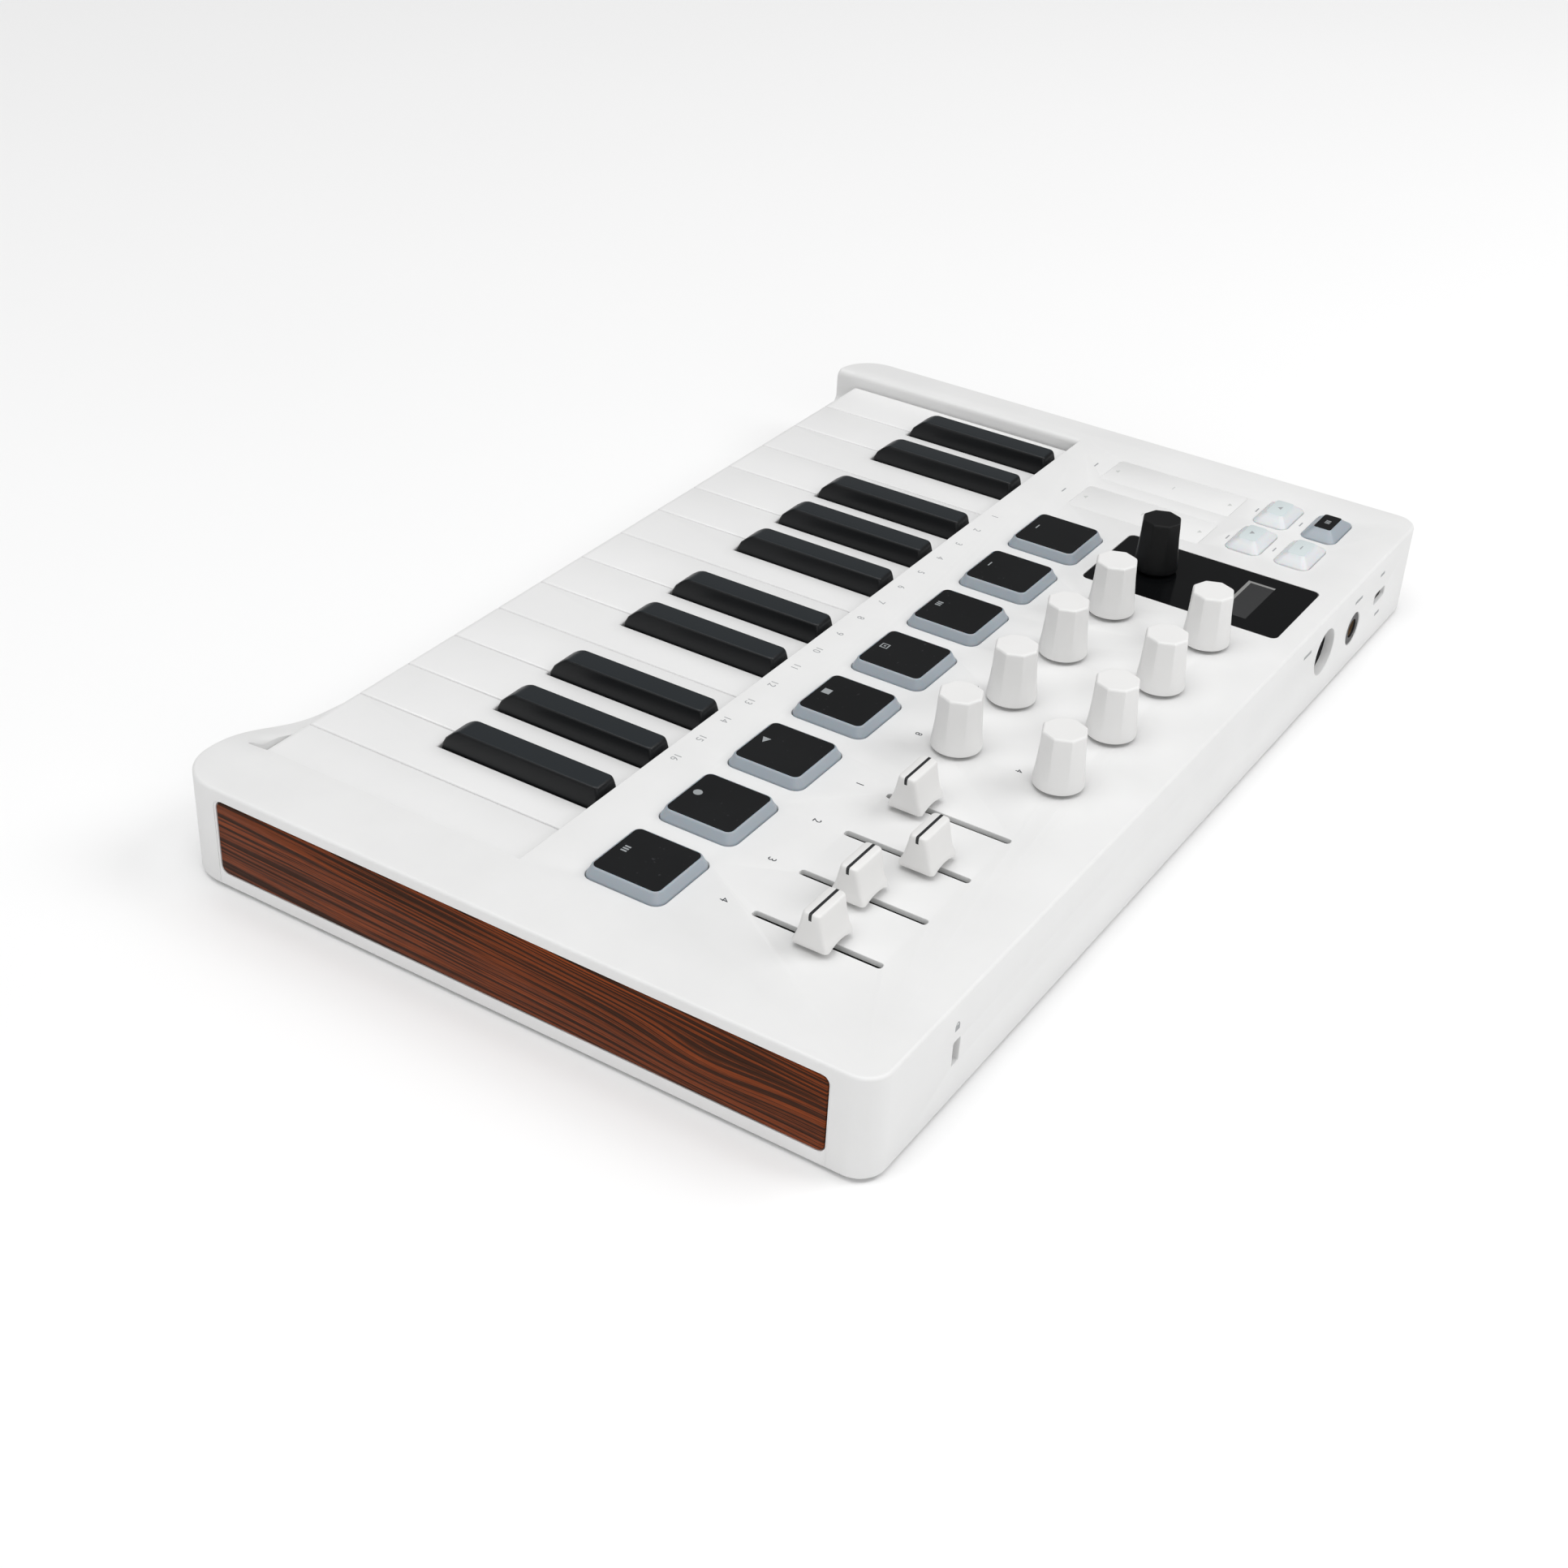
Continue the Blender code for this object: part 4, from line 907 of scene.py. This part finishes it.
def knob_rings(x, y, scale):
    base, crest = KNOB_BASE * scale, KNOB_CREST * scale
    foot, top = KNOB_FOOT, KNOB_TOP
    return [
        knob_ring(x, y, foot, base * 0.975, 0.0),
        knob_ring(x, y, foot + 0.0002, base * 0.995, 0.0),
        knob_ring(x, y, foot + 0.0005, base, 0.0),
        knob_ring(x, y, foot + 0.0020, base * 0.985, 0.0),
        knob_ring(x, y, foot + 0.0050, base * 0.970, 0.55),
        knob_ring(x, y, top - 0.0060, base * 0.930, 1.0),
        knob_ring(x, y, top - 0.0012, crest, 1.0),
        knob_ring(x, y, top - 0.0006, crest * 0.99, 1.0),
        knob_ring(x, y, top - 0.0003, crest * 0.97, 1.0),
        knob_ring(x, y, top - 0.0001, crest * 0.94, 1.0),
        knob_ring(x, y, top, crest * 0.90, 1.0),
    ]


def build_knobs():
    for index in range(1, KNOB_COUNT + 1):
        name = f"knob_{index}"
        low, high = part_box(name)
        centre = (low + high) / 2
        bm = bmesh.new()
        loft(bm, knob_rings(centre.x, centre.y, 1.0))
        knob = to_object(bm, f"encoder_cap_{index}")
        bm = bmesh.new()
        prism(bm, circle(centre.x, centre.y, KNOB_SHAFT, 32), low.z, KNOB_SHAFT_TOP)
        carve(knob, bm, "UNION")
        dress(knob, KNOB_WHITE, name, 14, [name])
    centre = centre_of("browse_knob")
    bm = bmesh.new()
    loft(bm, knob_rings(centre.x, centre.y, BROWSE_SCALE))
    knob = to_object(bm, "browse_cap")
    bm = bmesh.new()
    prism(bm, circle(centre.x, centre.y, BROWSE_BORE, 32), CASE_TOP + 0.0001, BROWSE_BORE_TOP)
    carve(knob, bm)
    dress(knob, KNOB_BLACK, "browse_knob", 14, ["browse_knob"])


def build_faders():
    half_width, half_depth = STEM_HALF
    for index in range(1, FADER_COUNT + 1):
        name = f"fader_cap_{index}"
        centre = centre_of(name)
        x, y = centre.x, centre.y
        bm = bmesh.new()
        loft(bm, [flat(pill(x, y, width, depth, 0.0012, 4), z) for z, width, depth in CAP_SECTIONS])
        cap = to_object(bm, f"fader_grip_{index}")
        bm = bmesh.new()
        prism(bm, circle(x, CAP_FOOT - CAP_HOLLOW_RISE, CAP_HOLLOW_RADIUS, 160), y - FAR, y + FAR, "Y")
        carve(cap, bm)
        bm = bmesh.new()
        block(bm, (x - half_width, y - half_depth, STEM_LOW), (x + half_width, y + half_depth, STEM_TOP))
        carve(cap, bm, "UNION")
        dress(cap, FADER_WHITE, name, 34, [name])
        build_cap_line(index, name, x, y)


def build_fader_shields():
    top = CASE_TOP - SLOT_DEPTH - 0.0001
    half_width, half_length = SHIELD_HALF
    slit_width, slit_length = SHIELD_SLIT
    for index in range(1, FADER_COUNT + 1):
        x = centre_of(f"fader_cap_{index}").x
        bm = bmesh.new()
        block(bm, (x - half_width, SLOT_Y - half_length, top - 0.0010),
              (x + half_width, SLOT_Y + half_length, top))
        shield = to_object(bm, f"fader_shield_{index}")
        bm = bmesh.new()
        block(bm, (x - slit_width, SLOT_Y - slit_length, top - FAR),
              (x + slit_width, SLOT_Y + slit_length, top + FAR))
        carve(shield, bm)
        dress(shield, SHIELD_BLACK)


def build_cap_line(index, name, x, y):
    """Black pointer line over the crest of a fader cap and a little way down both its ends."""
    half_line, proud = 0.00042, 0.00004
    path = [(0.00645, 0.0418), (0.00656, 0.0428), (0.00651, 0.0434), (0.00641, 0.0437), (0.00616, 0.0439)]
    outer = [(px + proud, pz + proud * 0.5) for px, pz in path]
    outer[-1] = (path[-1][0], path[-1][1] + proud)
    outline = [(-px, pz) for px, pz in outer] + [(px, pz) for px, pz in reversed(outer)]
    depth = 0.0004
    inner = [(px - depth, pz - depth) for px, pz in path]
    outline += [(px, pz) for px, pz in inner] + [(-px, pz) for px, pz in reversed(inner)]
    bm = bmesh.new()
    prism(bm, [(x + px, pz) for px, pz in outline], y - half_line, y + half_line, "Y")
    dress(to_object(bm, f"fader_line_{index}"), INK_BLACK, name)


def button_ring(centre, size, z, blend, corner):
    """Plan between the skirt (blend 0) and the crest (blend 1)."""
    width, depth = (full + (crest - full) * blend for full, crest in zip(size, BUTTON_CREST))
    return flat(pill(centre.x, centre.y, width, depth, corner, 8), z)


def build_buttons():
    for name, kind in zip(BUTTONS, ("bars", "dash", "down", "up")):
        low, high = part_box(name)
        centre, size, top = (low + high) / 2, (high.x - low.x, high.y - low.y), high.z
        sections = ((low.z, 0.0, 0.0022), (CASE_TOP + 0.0002, 0.0, 0.0022), (CASE_TOP + 0.0004, 0.03, 0.0022),
                    (top - 0.0012, 0.62, 0.0016), (top - 0.0004, 0.93, 0.0013), (top - 0.00015, 0.99, 0.0012),
                    (top - 0.00005, 1.03, 0.0011))
        bm = bmesh.new()
        loft(bm, [button_ring(centre, size, *section) for section in sections])
        dark = name == "button_shift"
        dress(to_object(bm, name + "_body"), PAD_SKIRT if dark else BUTTON_PALE, name, nodes=[name])
        bm = bmesh.new()
        loft(bm, [button_ring(centre, size, z, blend, 0.0009) for z, blend in
                  ((top - 0.0004, 1.03), (top - 0.00003, 1.03), (top, 1.05))])
        dress(to_object(bm, name + "_face"), PAD_TOP if dark else BUTTON_FACE, name)
        bm = bmesh.new()
        square_icon(bm, kind, centre.x, centre.y, top, 0.0024)
        dress(to_object(bm, name + "_icon"), PAD_INK if dark else INK_GREY, name)


def repaint(name, mat):
    """Material of a CAD piece that is shown as it is."""
    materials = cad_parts[name].data.materials
    materials.clear()
    materials.append(mat)


def build_display():
    repaint("display_panel", GLASS_BLACK)
    (x0, y0), (x1, y1) = WINDOW
    low, top, rim = CASE_TOP - WINDOW_DEPTH, CASE_TOP + 0.00002, WINDOW_HIGHLIGHT_WIDTH
    bm = bmesh.new()
    block(bm, (x0 + rim, y0 + rim, low), (x1, y1, top))
    dress(to_object(bm, "display_window"), WINDOW_GREY)
    # Painted highlight: a lighter strip on only two edges of the window, standing in for light caught by its
    # frame.
    bm = bmesh.new()
    block(bm, (x0, y0, low), (x0 + rim, y1, top))
    block(bm, (x0 + rim, y0, low), (x1, y0 + rim, top))
    dress(to_object(bm, "display_rim_painted_highlight"), WINDOW_RIM_HIGHLIGHT)


def build_strips():
    marks = (("down", 0.0116), ("dash", 0.0328), ("up", 0.0537))
    for number, x in enumerate(STRIP_X, start=1):
        centre, length = sum(STRIP_Y) / 2, STRIP_Y[1] - STRIP_Y[0]
        floor = CASE_TOP - STRIP_DEPTH
        bm = bmesh.new()
        loft(bm, [flat(pill(x, centre, STRIP_WIDTH - inset, length - inset, 0.0012, 6), z) for z, inset in
                  ((floor, 0.0001), (floor + 0.00022, 0.0001), (floor + 0.00026, 0.0002))])
        dress(to_object(bm, f"touch_strip_{number}"), STRIP_FILM)
        bm = bmesh.new()
        for kind, y in marks:
            square_icon(bm, kind, x, y, floor + 0.00026, 0.0022)
        dress(to_object(bm, f"strip_marks_{number}"), INK_PALE)


def print_text(bm, text, size, x, y, z):
    """Flat raised characters, centred, read from the front."""
    curve = bpy.data.curves.new("text", "FONT")
    curve.body = text
    curve.size = size
    curve.align_x = "CENTER"
    curve.align_y = "CENTER"
    curve.extrude = 0.00002
    curve.resolution_u = 4
    holder = bpy.data.objects.new("text", curve)
    bpy.context.scene.collection.objects.link(holder)
    mesh = bpy.data.meshes.new_from_object(holder.evaluated_get(bpy.context.evaluated_depsgraph_get()))
    mesh.transform(Matrix.Translation((x, y, z)))
    bm.from_mesh(mesh)
    bpy.data.objects.remove(holder, do_unlink=True)


def build_numbers():
    bm = bmesh.new()
    for index in range(1, FADER_COUNT + 1):
        print_text(bm, str(index), 0.0034, centre_of(f"fader_cap_{index}").x, FADER_NUMBER_Y, CASE_TOP)
    for index in range(1, KNOB_COUNT + 1):
        centre = centre_of(f"knob_{index}")
        print_text(bm, str(index), 0.0030, centre.x, centre.y + KNOB_NUMBER_SHIFT, CASE_TOP)
    dress(to_object(bm, "control_numbers"), INK_DARK)
    bm = bmesh.new()
    for number in range(1, STEP_COUNT + 1):
        x = STEP_LAST_X - (STEP_COUNT - number) * STEP_PITCH
        print_text(bm, str(number), 0.0034, x, STEP_Y, CASE_TOP)
    dress(to_object(bm, "step_numbers"), INK_GREY)


def build_marks():
    """Small neutral marks where the control surface and the rear wall carry labels."""
    bm = bmesh.new()
    for x, y in ((-0.1504, 0.0625), (-0.1259, 0.0625), (-0.1270, 0.0785), (-0.1495, 0.0785), (-0.1236, 0.0035),
                 (-0.1483, 0.0035)):
        square_icon(bm, "dash", x, y, CASE_TOP, 0.0030)
    for name in BUTTONS:
        low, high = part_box(name)
        x, y = low.x - 0.0011, (low.y + high.y) / 2
        prism(bm, circle(x, y, 0.0004, 16), CASE_TOP - INK_LOW, CASE_TOP + INK_HIGH)
    inner_y, outer_y = DEPTH / 2 - INK_LOW, DEPTH / 2 + INK_HIGH
    for x, z, width in ((-0.1243, 0.0250, 0.0062), (-0.0811, 0.0246, 0.0060), (-0.1452, 0.0255, 0.0036),
                        (-0.1472, 0.0103, 0.0040)):
        block(bm, (x - width / 2, inner_y, z - 0.0005), (x + width / 2, outer_y, z + 0.0005))
    x, z = LOCK[0] + 0.0006, 0.0243
    block(bm, (x - 0.0011, inner_y, z - 0.0012), (x + 0.0011, outer_y, z + 0.0004))
    outer, inner = arc(x, z + 0.0004, 0.0009, 0, 180, 12), arc(x, z + 0.0004, 0.0005, 180, 0, 12)
    prism(bm, outer + inner, inner_y, outer_y, "Y")
    dress(to_object(bm, "label_marks"), INK_GREY)


def build_sockets():
    repaint("socket_board", SOCKET_BLACK)
    for name in ("control_board", "key_contact_board"):
        repaint(name, BOARD)
    for name in ("key_frame", "browse_shaft"):
        repaint(name, STEEL)
    bm = bmesh.new()
    x, z = DIN[:2]
    prism(bm, circle(x, z, 0.0062), 0.1012, 0.1040, "Y")
    insert = to_object(bm, "five_pin_insert")
    bm = bmesh.new()
    for step in range(5):
        angle = math.radians(step * 45)
        pin_x, pin_z = x + 0.0040 * math.cos(angle), z - 0.0040 * math.sin(angle)
        prism(bm, circle(pin_x, pin_z, 0.0007, 16), 0.1020, 0.1050, "Y")
    carve(insert, bm)
    dress(insert, SOCKET_BLACK)
    x, z = JACK[:2]
    build_tube("jack_sleeve", lambda s: circle(x, z, 0.0032 - s, 40), 0.0003, 0.0960, 0.1090, BRASS)
    x, z, width, height = PORT
    build_tube("port_shell", lambda s: pill(x, z, width - 0.0008 - 2 * s, height - 0.0008 - 2 * s,
                                            (height - 0.0008) * 0.45 - s), 0.00025, 0.1020, 0.1085, STEEL)
    bm = bmesh.new()
    block(bm, (x - 0.0032, 0.1018, z - 0.00035), (x + 0.0032, 0.1075, z + 0.00035))
    dress(to_object(bm, "port_tongue"), SOCKET_BLACK)


def build_tube(name, outline, wall, low, high, mat):
    """Open sleeve along Y: outline(inset) is its outer plan."""
    bm = bmesh.new()
    outer = [[(x, y, z) for x, z in outline(0.00002)] for y in (low, high)]
    inner = [[(x, y, z) for x, z in outline(wall)] for y in (high, low)]
    loops = [[bm.verts.new(point) for point in ring] for ring in outer + inner]
    count = len(loops[0])
    for first, second in zip(loops, loops[1:] + loops[:1]):
        for i in range(count):
            j = (i + 1) % count
            bm.faces.new((first[i], first[j], second[j], second[i]))
    dress(to_object(bm, name), mat)


# Stage

def build_stage():
    bm = bmesh.new()
    block(bm, (-6.0, -6.0, -0.02), (6.0, 6.0, -0.0002))
    floor = to_object(bm, "floor")
    mat, tree, shader = new_material("floor_paper", (0.93, 0.93, 0.93), 0.9, Specular_IOR_Level=0.1)
    tone = noise(tree, place(tree), 3.0, 2.0)
    tree.links.new(ramp(tree, tone, ((0.3, (0.925, 0.925, 0.925)), (0.7, (0.935, 0.935, 0.935)))),
                   shader.inputs["Base Color"])
    floor.data.materials.append(mat)
    world = bpy.data.worlds.new("studio")
    world.use_nodes = True
    background = world.node_tree.nodes["Background"]
    background.inputs["Color"].default_value = (1.0, 1.0, 1.0, 1.0)
    background.inputs["Strength"].default_value = 0.20
    bpy.context.scene.world = world
    add_light("key", (-0.55, 0.95, 1.15), 0.9, 8.5)
    add_sun("top", (0.12, -0.06, 1.0), 55, 1.75)
    add_light("front", (1.10, -0.60, 0.80), 0.9, 2.8)
    add_light("fill", (0.90, 1.10, 0.50), 1.1, 4.6)
    bpy.context.scene.view_settings.view_transform = "Standard"


def add_light(name, location, size, energy):
    data = bpy.data.lights.new(name, "AREA")
    data.size = size
    data.energy = energy
    lamp = bpy.data.objects.new(name, data)
    lamp.location = location
    aim = Vector((0.0, 0.0, 0.02)) - Vector(location)
    lamp.rotation_euler = aim.to_track_quat("-Z", "Y").to_euler()
    bpy.context.scene.collection.objects.link(lamp)


def add_sun(name, direction, spread_degrees, strength):
    data = bpy.data.lights.new(name, "SUN")
    data.angle = math.radians(spread_degrees)
    data.energy = strength
    lamp = bpy.data.objects.new(name, data)
    lamp.rotation_euler = (-Vector(direction)).to_track_quat("-Z", "Y").to_euler()
    bpy.context.scene.collection.objects.link(lamp)


def build_camera():
    data = bpy.data.cameras.new("camera")
    data.sensor_width, data.lens = SENSOR, LENS
    data.clip_start, data.clip_end = 0.01, 20.0
    camera = bpy.data.objects.new("camera", data)
    turn = Matrix((CAMERA_RIGHT, CAMERA_UP, CAMERA_BACK)).transposed().to_4x4()
    camera.matrix_world = Matrix.Translation(CAMERA_PLACE) @ turn
    bpy.context.scene.collection.objects.link(camera)
    bpy.context.scene.camera = camera


build_shell()
build_base()
build_wood()
build_white_keys()
build_black_keys()
build_pads()
build_knobs()
build_faders()
build_fader_shields()
build_buttons()
build_display()
build_strips()
build_numbers()
build_marks()
build_sockets()
build_stage()
build_camera()
